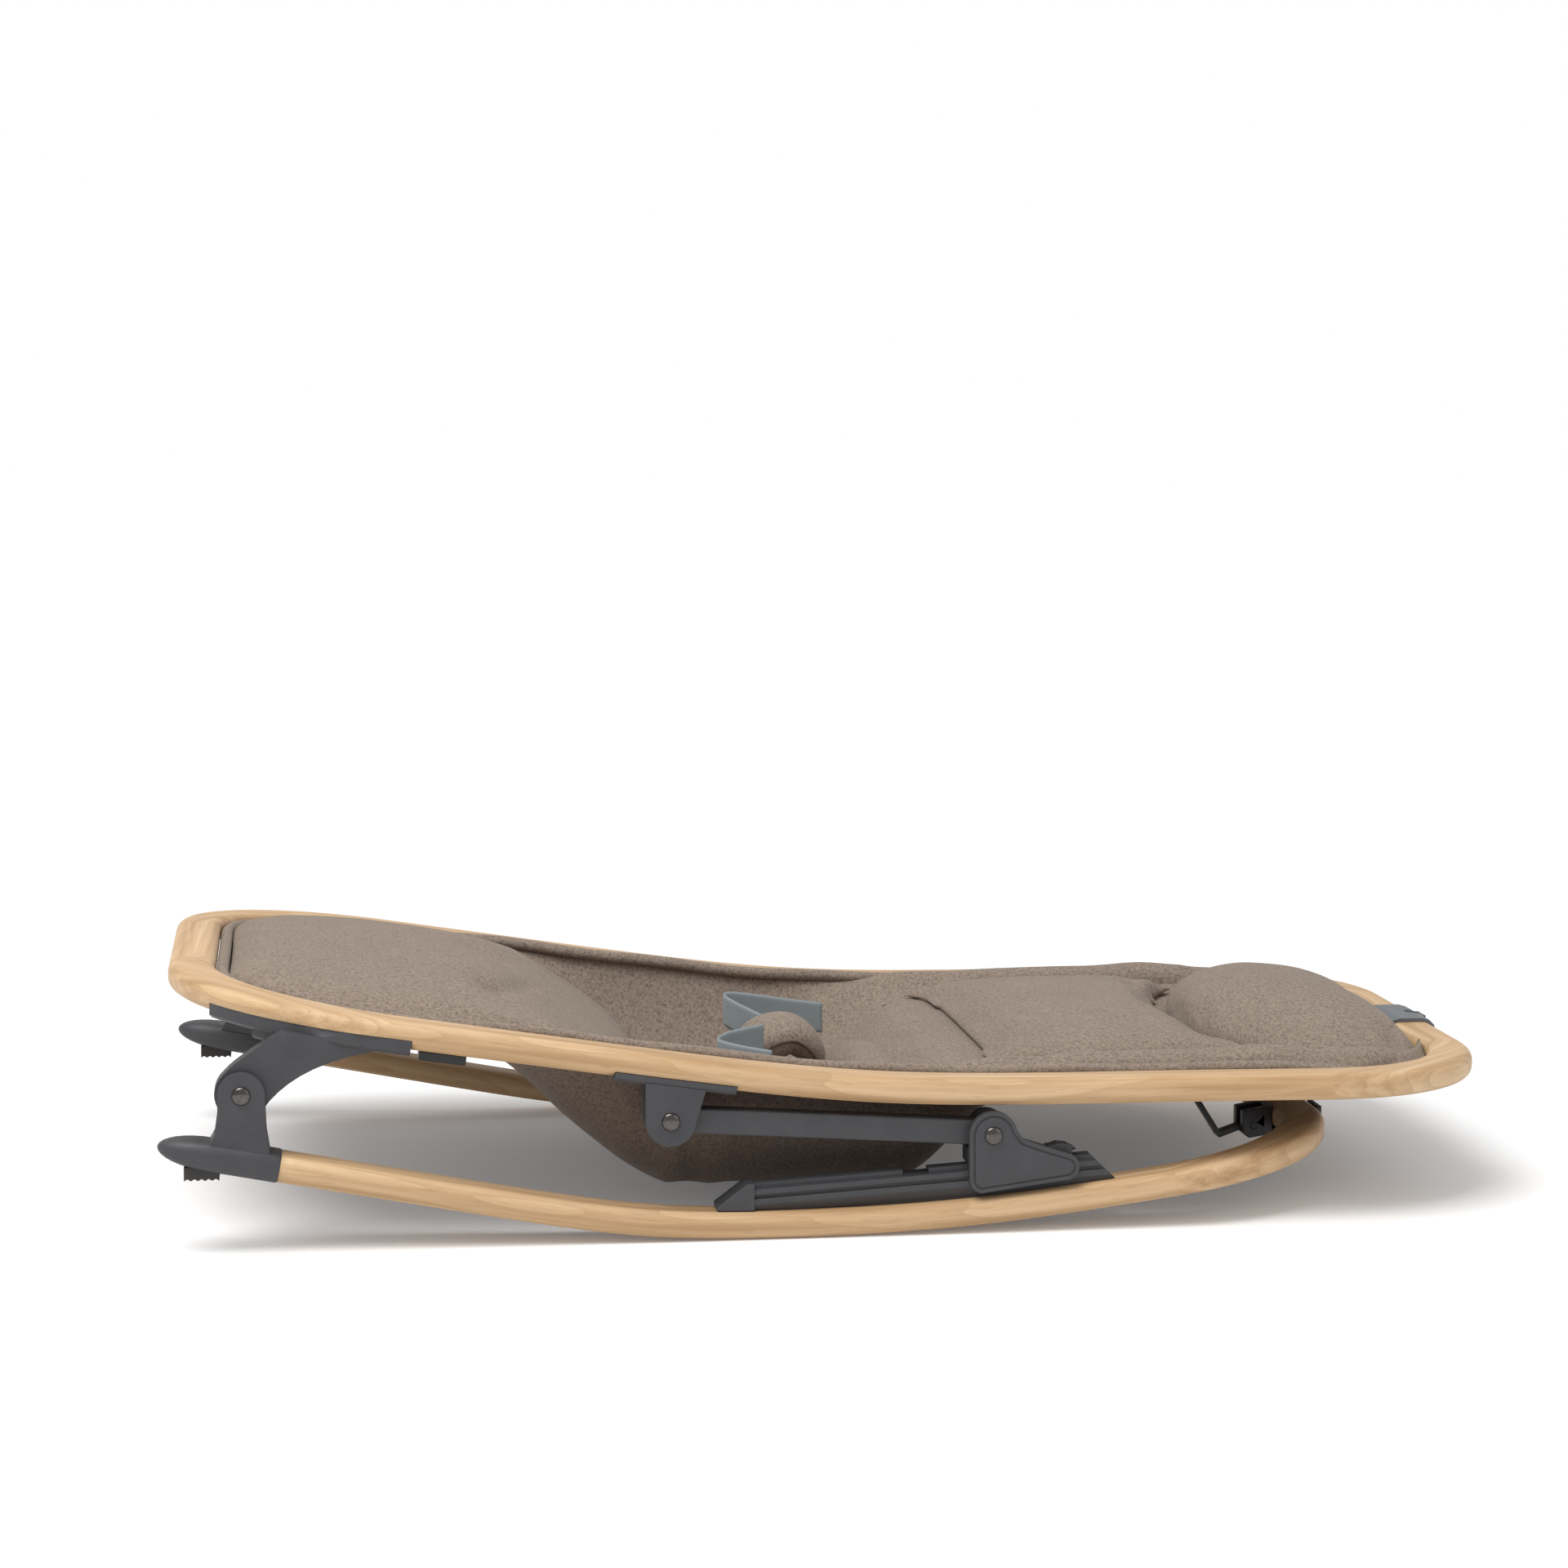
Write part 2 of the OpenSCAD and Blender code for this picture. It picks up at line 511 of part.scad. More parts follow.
// The stand's side view: a flat bar bent at its heel
heel = [-20, -7];
module stand_bar(a, b) slab(stand_leg[0], stand_leg[1]) translate(a) rotate(atan2(b[1] - a[1], b[0] - a[0]))
    translate([0, -stand_t / 2]) square([norm(b - a), stand_t]);
module stand_leg_shape() difference() {
    union() {
        across(stand_pivot, 4.5, stand_leg[0], stand_leg[1]);
        stand_bar(stand_pivot, stand_pivot + heel);
        across(stand_pivot + heel, stand_t / 2, stand_leg[0], stand_leg[1]);
        stand_bar(stand_pivot + heel, stand_tip);
        across(stand_tip, stand_t, stand_leg[0], stand_leg[1]);
    }
    across(stand_pivot, stand_pin_r + fit, stand_leg[0] - 1, stand_leg[1] + 1);
}
module stand() color(dark_steel) {
    stand_leg_shape();
    right_side() stand_leg_shape();
    across(stand_tip, 2.5, -stand_leg[0] - 1, stand_leg[0] + 1);
}

// ---- soft parts -----------------------------------------------------------------

// Half width of the space inside the ring
function inner_half(x) = let(c = x < 0 ? foot_corner_r : head_corner_r, r = c - bar_w / 2,
    d = max(x < 0 ? foot_x + c - x : x - head_x + c, 0))
    seat_half_w - c + sqrt(max(r * r - d * d, 0)) - cloth_gap;
// Solid between two height fields over a strip: y runs from edge0(x) to edge1(x)
module field(x0, x1, nx, ny, edge0, edge1, low, high) {
    pts = function(f) [for (i = [0:nx], j = [0:ny]) let(x = mix(x0, x1, i / nx), t = j / ny)
        let(y = mix(edge0(x), edge1(x), t)) [x, y, f(x, y)]];
    n = ny + 1;
    m = (nx + 1) * n;
    quad = function(a, b, c, d) [[a, b, c], [a, c, d]];
    polyhedron(points = concat(pts(high), pts(low)), convexity = 10, faces = concat(
        [for (i = [0:nx - 1], j = [0:ny - 1])
            let(a = i * n + j, b = a + n) each quad(a, a + 1, b + 1, b)],
        [for (i = [0:nx - 1], j = [0:ny - 1])
            let(a = m + i * n + j, b = a + n) each quad(a, b, b + 1, a + 1)],
        [for (i = [0:nx - 1], q = quad(i * n, (i + 1) * n, m + (i + 1) * n, m + i * n)) q],
        [for (i = [0:nx - 1])
            let(a = i * n + ny, b = a + n) each quad(b, a, m + a, m + b)],
        [for (j = [0:ny - 1], q = quad(j + 1, j, m + j, m + j + 1)) q],
        [for (j = [0:ny - 1], q = quad(nx * n + j, nx * n + j + 1, m + nx * n + j + 1, m + nx * n + j)) q]));
}

pocket_x = [-233, -93, 37, 107];   // the hip pocket: rim, floor from, floor to, rim
function pocket(x) = blend((x - pocket_x[0]) / (pocket_x[1] - pocket_x[0]))
    * (1 - blend((x - pocket_x[2]) / (pocket_x[3] - pocket_x[2])));
function cover_low(x, y) = let(t = min(abs(y) / inner_half(x), 1), edge = ring_z(x) - 4,
    d = mix(6, edge - pocket_z, pocket(x))) edge - d * (1 - pow(t, 7));
function cover_top(x, y) = cover_low(x, y) + cover_t;
cover_cells = 14;
// Height of the cover's top as it is meshed, flat between its rows of points
function cover_skin(x, y) = let(e = inner_half(x), u = (y + e) / (2 * e) * cover_cells,
    i = max(min(floor(u), cover_cells - 1), 0), w = 2 * e / cover_cells)
    mix(cover_top(x, i * w - e), cover_top(x, (i + 1) * w - e), u - i);
soft_end = bar_w / 2 + 1.4;
module sling() color(cloth) field(foot_x + soft_end, head_x - soft_end - clip_wall, ceil(seat_len / 17.6), cover_cells,
    function(x) -inner_half(x), function(x) inner_half(x),
    function(x, y) cover_low(x, y), function(x, y) cover_top(x, y));

// A pad on the cover: crowned by h over its edge's level from the ring's centre line, from x0 to x1
function crown(t) = sqrt(max(1 - t * t, 0));
module pad(x0, x1, w0, w1, h, nx = 12, ny = 8, level = function(x) 0) {
    mid = (x0 + x1) / 2;
    half = (x1 - x0) / 2;
    edge0 = function(x) max(w0, -inner_half(x) + 0.5);
    edge1 = function(x) min(w1, inner_half(x) - 0.5);
    field(x0, x1, nx, ny, edge0, edge1, function(x, y) cover_skin(x, y) + pad_gap,
        function(x, y) max(cover_skin(x, y) + pad_gap + 1.5,
            ring_z(x) + level(x) + h * crown((x - mid) / half * 0.97)
            * crown(0.97 * (2 * (y - edge0(x)) / (edge1(x) - edge0(x)) - 1))));
}
bolster_w = 34;
back_half = seat_half_w - bar_w / 2 - bolster_w - 2;

// The fabric tongue between the legs: [x, z, half width, half thickness]
tongue_route = [[-50, 20, 26, 5], [-50, 43, 27, 7], [-46, 65, 29, 8], [-37, 83, 30, 9], [-22, 91, 28, 8],
    [-7, 87, 24, 7], [3, 77, 18, 4]];
function tongue_loop(i) = let(a = tongue_route[max(i - 1, 0)],
    b = tongue_route[min(i + 1, len(tongue_route) - 1)],
    c = tongue_route[i], d = unit([b[0] - a[0], b[1] - a[1]]), n = [-d[1], d[0]])
    [for (k = [0:11]) let(q = -k * 30)
        [c[0] + n[0] * c[3] * sin(q), c[2] * cos(q), c[1] + n[1] * c[3] * sin(q)]];
module crotch_tongue() color(cloth) skin([for (i = [0:len(tongue_route) - 1]) tongue_loop(i)]);

// Webbing on edge along a route of plan points [x, y, z of its middle]
module webbing_along(route) color(webbing) skin([for (i = [0:len(route) - 1])
    let(a = route[max(i - 1, 0)], b = route[min(i + 1, len(route) - 1)], c = route[i],
        d = unit([b[0] - a[0], b[1] - a[1], 0]), n = [-d[1], d[0], 0] * web_t / 2, u = [0, 0, web_w / 2])
    [c - n - u, c - n + u, c + n + u, c + n - u]]);
right_route = [[-16, 35, 76], [-30, 42, 82], [-43, 49, 88], [-48, 57, 91], [-42, 65, 91], [-26, 72, 88],
    [-2, 80, 83], [20, 86, 79]];
left_route = [[-34, -35, 87], [-46, -42, 86], [-58, -50, 85], [-65, -60, 83], [-60, -70, 82], [-48, -76, 80],
    [-34, -80, 78]];

// ---- left and right ---------------------------------------------------------------

module pair() { children(); right_side() children(); }

module foot_cap_left() foot_cap();
module foot_cap_right() right_side() foot_cap();
module foot_pad_left() foot_pad();
module foot_pad_right() right_side() foot_pad();
module seat_arm_left() seat_arm();
module seat_arm_right() right_side() seat_arm();
module mid_bracket_left() mid_bracket();
module mid_bracket_right() right_side() mid_bracket();
module link_left() link();
module link_right() right_side() link();
module rail_left() rail();
module rail_right() right_side() rail();
module rail_end_cap_left() rail_end_cap();
module rail_end_cap_right() right_side() rail_end_cap();
module slider_left() slider();
module slider_right() right_side() slider();
module release_key_left() release_key();
module release_key_right() right_side() release_key();
module stand_clamp_left() stand_clamp();
module stand_clamp_right() right_side() stand_clamp();
module foot_hinge_pins() color(steel) pair() domed_pin(hinge, fork_in, fork_out);
module hinge_washers() color(nylon) pair() washers(hinge);
module link_pins() color(steel) pair() domed_pin(upper, fork_in, fork_out);
module link_washers() color(nylon) pair() washers(upper);
module slider_rivets() color(steel) pair() {
    across(lower, pin_r, slider_out - slider_cheek, slider_out);
    translate([lower[0], -slider_out, lower[1]]) rotate([90, 0, 0]) rivet_head();
    across(lower, pin_r, slider_in, slider_in + 4);
    translate([lower[0], -slider_in, lower[1]]) rotate([-90, 0, 0]) rivet_head();
}
module key_pins() color(steel) pair() across(lower + key_hinge, key_pin_r, slider_in + 1.6, slider_out - 1.6);
module key_springs() color(steel) pair() key_spring();
screw_x = [arm_to - 60, arm_to - 20];
module arm_screws() color(steel) pair() for (x = screw_x)
    wood_screw([x, -seat_half_w + (x < screw_x[1] ? 8 : 0), under(x) - 3.1], 11);
module bracket_screws() color(steel) pair() for (x = [rebates[1][0] + 8, rebates[1][1] - 8])
    wood_screw([x, -seat_half_w, under(x) - 2.4], 10);
module rail_screws() color(steel) pair() for (x = [rail_x0 + 12, 8, lock_x - 15])
    wood_screw([x, -rail_mid, hoop_top(x) - 12], 18);
module clip_screw() color(steel) translate([head_x - 6, 0, ring_z(head_x) - bar_h / 2 - clip_wall - 0.1])
    cylinder(r = 2, h = 10);
module stand_pins() color(steel) pair() across(stand_pivot, stand_pin_r, stand_w0, stand_w1);
module stand_sleeve() color(rubber) difference() {
    across(stand_tip, 4, -50, 50);
    across(stand_tip, 2.5 + fit, -51, 51);
}
module cover_anchor() color(dark_steel)
    under_ring(arm_to + 5, arm_to + 32, plate_section(8, -bar_h / 2 - 5.6, -bar_h / 2 - seat_gap, 1));
module cover_anchor_left() cover_anchor();
module cover_anchor_right() right_side() cover_anchor();
module leg_pad() color(cloth) pad(foot_x + soft_end + 1, -105, -250, 250, 24, 18, 8,
    function(x) -48 * blend((x + 195) / 90));
module seat_roll() color(cloth) pad(24, 61, -back_half, back_half, 9, 6, 8, function(x) -15);
module back_pad() color(cloth) pad(64, 242, -back_half, back_half, 20);
module head_pillow() color(cloth) pad(245, head_x - soft_end - clip_wall - 1, -back_half, back_half, 30);
module bolster() color(cloth) pad(72, head_x - soft_end - 6, -250, -back_half - 2, 13,
    ceil((head_x - 72) / 11), 6);
module side_bolster_left() bolster();
module side_bolster_right() right_side() bolster();
module waist_strap_left() webbing_along(left_route);
module waist_strap_right() webbing_along(right_route);

seat_ring();
base_hoop();
foot_cap_left();
foot_cap_right();
foot_pad_left();
foot_pad_right();
seat_arm_left();
seat_arm_right();
arm_screws();
foot_hinge_pins();
hinge_washers();
mid_bracket_left();
mid_bracket_right();
bracket_screws();
link_left();
link_right();
link_pins();
link_washers();
rail_left();
rail_right();
rail_end_cap_left();
rail_end_cap_right();
rail_screws();
slider_left();
slider_right();
slider_rivets();
release_key_left();
release_key_right();
key_pins();
key_springs();
head_clip();
clip_screw();
stand();
stand_clamp_left();
stand_clamp_right();
stand_pins();
stand_sleeve();
cover_anchor_left();
cover_anchor_right();
sling();
leg_pad();
seat_roll();
back_pad();
head_pillow();
side_bolster_left();
side_bolster_right();
crotch_tongue();
waist_strap_left();
waist_strap_right();
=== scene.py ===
import json
import math
import bmesh
import bpy
import numpy as np
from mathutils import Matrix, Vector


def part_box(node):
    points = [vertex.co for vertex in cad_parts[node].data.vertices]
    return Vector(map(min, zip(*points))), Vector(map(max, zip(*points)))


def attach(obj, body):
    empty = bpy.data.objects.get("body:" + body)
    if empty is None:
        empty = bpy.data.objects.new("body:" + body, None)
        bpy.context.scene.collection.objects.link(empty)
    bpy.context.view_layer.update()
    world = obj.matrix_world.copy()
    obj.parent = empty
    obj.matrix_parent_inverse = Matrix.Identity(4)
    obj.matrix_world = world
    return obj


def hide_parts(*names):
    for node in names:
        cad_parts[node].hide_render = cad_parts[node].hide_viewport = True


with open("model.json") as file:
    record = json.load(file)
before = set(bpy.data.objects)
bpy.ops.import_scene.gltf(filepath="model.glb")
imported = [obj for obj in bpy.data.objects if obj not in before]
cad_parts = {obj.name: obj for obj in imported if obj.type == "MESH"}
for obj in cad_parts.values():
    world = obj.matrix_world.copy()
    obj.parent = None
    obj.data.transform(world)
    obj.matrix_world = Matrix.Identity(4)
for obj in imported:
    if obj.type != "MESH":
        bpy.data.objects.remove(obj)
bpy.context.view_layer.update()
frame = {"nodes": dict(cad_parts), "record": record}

mm = 0.001
scene = bpy.context.scene

studio = {"cameraAt": (-0.3182, -2.3364, 0.4971), "pitchDown": 6.142, "yaw": 7.365, "lens": 86.25,
          "floorSize": 30.0, "floorWhite": 0.82, "nearGlow": 0.10, "farGlow": 0.75, "glowFrom": 0.7,
          "glowTo": 4.0, "ambient": 0.62, "keyAt": (-1.1, -0.9, 2.8), "keySize": 2.0, "keyPower": 92.0,
          "fillAt": (2.2, -1.8, 1.6), "fillSize": 2.2, "fillPower": 12.0}


def setUpStudio():
    camData = bpy.data.cameras.new("mainCamera")
    camData.lens = studio["lens"]
    camData.sensor_width = 36.0
    cam = bpy.data.objects.new("mainCamera", camData)
    cam.location = studio["cameraAt"]
    cam.rotation_euler = (math.radians(90 - studio["pitchDown"]), 0, math.radians(-studio["yaw"]))
    scene.collection.objects.link(cam)
    scene.camera = cam
    half = studio["floorSize"] / 2
    corners = np.array([[-half, -half, 0], [half, -half, 0], [half, half, 0], [-half, half, 0]])
    floor = meshPiece("studioFloor", corners, np.array([[0, 1, 2, 3]]), smooth=False)
    mat, tree, shader = newMaterial("studioPaper")
    noise = node(tree, "ShaderNodeTexNoise", Scale=3.0, Detail=2.0)
    white = studio["floorWhite"]
    ramp = colourRamp(tree, noise.outputs["Fac"], [(0.3, (white,) * 3), (0.7, (white + 0.012,) * 3)])
    tree.links.new(ramp, shader.inputs["Base Color"])
    shader.inputs["Roughness"].default_value = 0.9
    shader.inputs["Emission Color"].default_value = (1, 1, 1, 1)
    # the paper glows a little under the seat and more with distance, so that it meets the backdrop unseen
    far = node(tree, "ShaderNodeVectorMath", "LENGTH")
    tree.links.new(objectSpace(tree), far.inputs[0])
    glow = node(tree, "ShaderNodeMapRange")
    glow.interpolation_type = "SMOOTHSTEP"
    for socket, value in (("From Min", studio["glowFrom"]), ("From Max", studio["glowTo"]),
                          ("To Min", studio["nearGlow"]), ("To Max", studio["farGlow"])):
        glow.inputs[socket].default_value = value
    tree.links.new(far.outputs["Value"], glow.inputs["Value"])
    tree.links.new(glow.outputs["Result"], shader.inputs["Emission Strength"])
    floor.data.materials.append(mat)
    world = bpy.data.worlds.new("studioWorld")
    world.use_nodes = True
    back = world.node_tree.nodes["Background"]
    back.inputs["Color"].default_value = (1, 1, 1, 1)
    seen = world.node_tree.nodes.new("ShaderNodeLightPath")
    strength = world.node_tree.nodes.new("ShaderNodeMapRange")
    strength.inputs["To Min"].default_value = studio["ambient"]
    strength.inputs["To Max"].default_value = 1.0
    world.node_tree.links.new(seen.outputs["Is Camera Ray"], strength.inputs["Value"])
    world.node_tree.links.new(strength.outputs["Result"], back.inputs["Strength"])
    scene.world = world
    # each lamp faces the origin
    for label in ("key", "fill"):
        lamp = bpy.data.lights.new(label + "Light", "AREA")
        lamp.size = studio[label + "Size"]
        lamp.energy = studio[label + "Power"]
        lampObject = bpy.data.objects.new(label + "Light", lamp)
        x, y, z = lampObject.location = studio[label + "At"]
        lampObject.rotation_euler = (math.atan2(math.hypot(x, y), z), 0, math.atan2(x, -y))
        scene.collection.objects.link(lampObject)
    scene.view_settings.view_transform = "Standard"
    print("studio ready")


def meshPiece(name, points, faces, smooth=True, grain=None, uv=None):
    # points (n, 3) in metres and faces (m, 3 or 4) of indices become a mesh in one step
    mesh = bpy.data.meshes.new(name)
    points = np.asarray(points, dtype=np.float32)
    faces = np.asarray(faces, dtype=np.int32)
    corners = faces.shape[1]
    mesh.vertices.add(len(points))
    mesh.vertices.foreach_set("co", points.ravel())
    mesh.loops.add(faces.size)
    mesh.loops.foreach_set("vertex_index", faces.ravel())
    mesh.polygons.add(len(faces))
    mesh.polygons.foreach_set("loop_start", np.arange(0, faces.size, corners, dtype=np.int32))
    mesh.update(calc_edges=True)
    mesh.polygons.foreach_set("use_smooth", np.full(len(faces), smooth))
    if grain is not None:
        attribute = mesh.attributes.new("grainSpace", "FLOAT_VECTOR", "POINT")
        attribute.data.foreach_set("vector", np.asarray(grain, dtype=np.float32).ravel())
    if uv is not None:
        layer = mesh.uv_layers.new(name="bandMap")
        layer.data.foreach_set("uv", np.asarray(uv, dtype=np.float32)[faces.ravel()].ravel())
    mesh.validate()
    piece = bpy.data.objects.new(name, mesh)
    scene.collection.objects.link(piece)
    return piece


def gridFaces(rows, columns, wrapRows=False, wrapColumns=False):
    # one quad between each point of a grid and the next row and column, wrapping round where asked
    i, j = np.meshgrid(np.arange(rows if wrapRows else rows - 1),
                       np.arange(columns if wrapColumns else columns - 1), indexing="ij")
    i2, j2 = (i + 1) % rows, (j + 1) % columns
    faces = np.stack([i * columns + j, i * columns + j2, i2 * columns + j2, i2 * columns + j], -1)
    return faces.reshape(-1, 4)


def solidBetween(name, x, y, top, bottom):
    # x and y are grids, top and bottom the heights over them; four walls close the two sheets into a solid
    rows, columns = x.shape
    upper = np.stack([x, y, top], -1).reshape(-1, 3)
    lower = np.stack([x, y, bottom], -1).reshape(-1, 3)
    sheet = gridFaces(rows, columns)
    index = np.arange(rows * columns).reshape(rows, columns)
    rim = np.concatenate([index[:-1, 0], index[-1, :-1], index[:0:-1, -1], index[0, :0:-1]])
    following = np.roll(rim, -1)
    shift = rows * columns
    walls = np.stack([rim, rim + shift, following + shift, following], -1)
    faces = np.concatenate([sheet[:, ::-1], sheet + shift, walls[:, ::-1]])
    return meshPiece(name, np.concatenate([upper, lower]) * mm, faces)


def unit(v):
    return v / np.maximum(np.linalg.norm(v, axis=-1, keepdims=True), 1e-9)


def blend(t):
    c = np.clip(t, 0, 1)
    return c * c * (3 - 2 * c)


def smoothRoute(points, count):
    # a Catmull-Rom curve through the points, at even steps of its parameter
    p = np.asarray(points, dtype=float)
    p = np.vstack([2 * p[0] - p[1], p, 2 * p[-1] - p[-2]])
    t = np.linspace(0, len(p) - 3 - 1e-6, count)
    k = t.astype(int)
    f = (t - k)[:, None]
    a, b, c, d = p[k], p[k + 1], p[k + 2], p[k + 3]
    return 0.5 * (2 * b + (c - a) * f + (2 * a - 5 * b + 4 * c - d) * f ** 2
                  + (3 * b - a - 3 * c + d) * f ** 3)


def tube(name, route, radius, sides=12, closed=False):
    # a round section of that radius carried along the route, square to it, with pinched ends
    route = np.asarray(route, dtype=float)
    n = len(route)
    ahead = np.roll(route, -1, 0) - np.roll(route, 1, 0)
    if not closed:
        ahead[0], ahead[-1] = route[1] - route[0], route[-1] - route[-2]
    ahead = unit(ahead)
    side = unit(np.cross(ahead, np.array([0.0, 0.0, 1.0])))
    up = np.cross(side, ahead)
    angle = np.linspace(0, 2 * np.pi, sides, endpoint=False)
    radii = np.full(n, float(radius))
    if not closed:
        radii[0] = radii[-1] = radius * 0.15
        radii[1] = radii[-2] = radius * 0.8
    ring = np.cos(angle)[None, :, None] * side[:, None] + np.sin(angle)[None, :, None] * up[:, None]
    points = route[:, None] + ring * radii[:, None, None]
    faces = gridFaces(n, sides, wrapRows=closed, wrapColumns=True)
    return meshPiece(name, points.reshape(-1, 3) * mm, faces[:, ::-1])


def faceOutward(piece):
    # makes a closed mesh's faces agree and point out of it
    shape = bmesh.new()
    shape.from_mesh(piece.data)
    bmesh.ops.recalc_face_normals(shape, faces=shape.faces)
    shape.to_mesh(piece.data)
    shape.free()


def bake(piece):
    # replaces a piece's mesh with what its modifiers make of it
    shape = bpy.data.meshes.new_from_object(piece.evaluated_get(bpy.context.evaluated_depsgraph_get()))
    piece.modifiers.clear()
    piece.data = shape
    shape.polygons.foreach_set("use_smooth", np.full(len(shape.polygons), True))


def coordinates(mesh):
    co = np.empty(len(mesh.vertices) * 3, dtype=np.float32)
    mesh.vertices.foreach_get("co", co)
    return co.reshape(-1, 3)


def inflate(piece, voxel=5.0, pressure=4.0, cap=7.0, frames=20):
    # the closed shape is remeshed and blown up as cloth with no gravity; no point moves further than the cap
    remesh = piece.modifiers.new("remesh", "REMESH")
    remesh.mode = "VOXEL"
    remesh.voxel_size = voxel * mm
    bake(piece)
    start = coordinates(piece.data).copy()
    cloth = piece.modifiers.new("cloth", "CLOTH")
    cloth.settings.use_pressure = True
    cloth.settings.uniform_pressure_force = pressure
    cloth.settings.effector_weights.gravity = 0
    cloth.settings.quality = 4
    cloth.collision_settings.use_collision = False
    cloth.point_cache.frame_start = 1
    cloth.point_cache.frame_end = frames
    for step in range(1, frames + 1):
        scene.frame_set(step)
    swollen = piece.evaluated_get(bpy.context.evaluated_depsgraph_get())
    moved = coordinates(swollen.data).copy() - start
    piece.modifiers.clear()
    reach = np.linalg.norm(moved, axis=1, keepdims=True)
    moved *= np.minimum(1.0, cap * mm / np.maximum(reach, 1e-9))
    piece.data.vertices.foreach_set("co", (start + moved).ravel())
    piece.data.update()
    scene.frame_set(1)
    softenMesh(piece, 3)


def softenMesh(piece, times):
    smooth = piece.modifiers.new("soften", "SMOOTH")
    smooth.factor = 0.5
    smooth.iterations = times
    bake(piece)


def crease(piece, dimples=(), lines=()):
    # presses dimples (x, y, radius, depth) and lines (points, width, depth) into a soft piece's upper side
    mesh = piece.data
    co = coordinates(mesh) / mm
    normal = np.empty(len(mesh.vertices) * 3, dtype=np.float32)
    mesh.vertex_normals.foreach_get("vector", normal)
    upward = np.clip(normal.reshape(-1, 3)[:, 2], 0, 1)
    drop = np.zeros(len(co))
    for x, y, radius, depth in dimples:
        reach = np.hypot(co[:, 0] - x, co[:, 1] - y) / radius
        drop += depth * np.exp(-reach ** 2)
    for points, width, depth in lines:
        route = smoothRoute(points, 40)
        gap = np.sqrt(((co[:, None, :2] - route[None, :, :2]) ** 2).sum(-1)).min(1)
        drop += depth * np.exp(-(gap / width) ** 2)
    co[:, 2] -= drop * upward
    mesh.vertices.foreach_set("co", (co * mm).astype(np.float32).ravel())
    mesh.update()


def subdivide(piece, levels=1):
    finer = piece.modifiers.new("finer", "SUBSURF")
    finer.levels = finer.render_levels = levels


def newMaterial(name):
    mat = bpy.data.materials.new(name)
    mat.use_nodes = True
    return mat, mat.node_tree, mat.node_tree.nodes["Principled BSDF"]


def node(tree, kind, operation=None, **values):
    made = tree.nodes.new(kind)
    if operation:
        made.operation = operation
    for key, value in values.items():
        made.inputs[key.replace("_", " ")].default_value = value
    return made


def maths(tree, operation, a, b=None, clamp=False):
    made = tree.nodes.new("ShaderNodeMath")
    made.operation = operation
    made.use_clamp = clamp
    for k, value in enumerate((a, b)):
        if value is None:
            continue
        if isinstance(value, (int, float)):
            made.inputs[k].default_value = value
        else:
            tree.links.new(value, made.inputs[k])
    return made.outputs[0]


def stretched(tree, source, scale):
    made = tree.nodes.new("ShaderNodeMapping")
    made.inputs["Scale"].default_value = scale
    tree.links.new(source, made.inputs["Vector"])
    return made.outputs[0]


def noiseOn(tree, source, scale, detail=2.0, rough=0.5, distortion=0.0):
    made = node(tree, "ShaderNodeTexNoise", Scale=scale, Detail=detail, Roughness=rough,
                Distortion=distortion)
    tree.links.new(source, made.inputs["Vector"])
    return made.outputs["Fac"]


def colourRamp(tree, source, stops):
    made = tree.nodes.new("ShaderNodeValToRGB")
    elements = made.color_ramp.elements
    while len(elements) < len(stops):
        elements.new(0.5)
    for element, (place, colour) in zip(elements, stops):
        element.position = place
        element.color = (*colour, 1)
    tree.links.new(source, made.inputs["Fac"])
    return made.outputs["Color"]


def mixColour(tree, factor, base, tint):
    # sockets 0, 6, 7 and output 2 are the factor, the two colours and the result of a colour mix
    made = tree.nodes.new("ShaderNodeMix")
    made.data_type = "RGBA"
    tree.links.new(factor, made.inputs[0])
    tree.links.new(base, made.inputs[6])
    made.inputs[7].default_value = (*tint, 1)
    return made.outputs[2]


def bumpFrom(tree, height, strength, distance):
    made = node(tree, "ShaderNodeBump", Strength=strength, Distance=distance)
    tree.links.new(height, made.inputs["Height"])
    return made.outputs["Normal"]


def newGroup(name, numbersIn, outputs):
    group = bpy.data.node_groups.new(name, "ShaderNodeTree")
    group.interface.new_socket("Vector", in_out="INPUT", socket_type="NodeSocketVector")
    for label, value in numbersIn:
        socket = group.interface.new_socket(label, in_out="INPUT", socket_type="NodeSocketFloat")
        socket.default_value = value
    for label in outputs:
        group.interface.new_socket(label, in_out="OUTPUT", socket_type="NodeSocketFloat")
    return group, group.nodes.new("NodeGroupInput"), group.nodes.new("NodeGroupOutput")


def placeGroup(tree, group, vector, **values):
    made = tree.nodes.new("ShaderNodeGroup")
    made.node_tree = group
    tree.links.new(vector, made.inputs["Vector"])
    for key, value in values.items():
        made.inputs[key].default_value = value
    return made


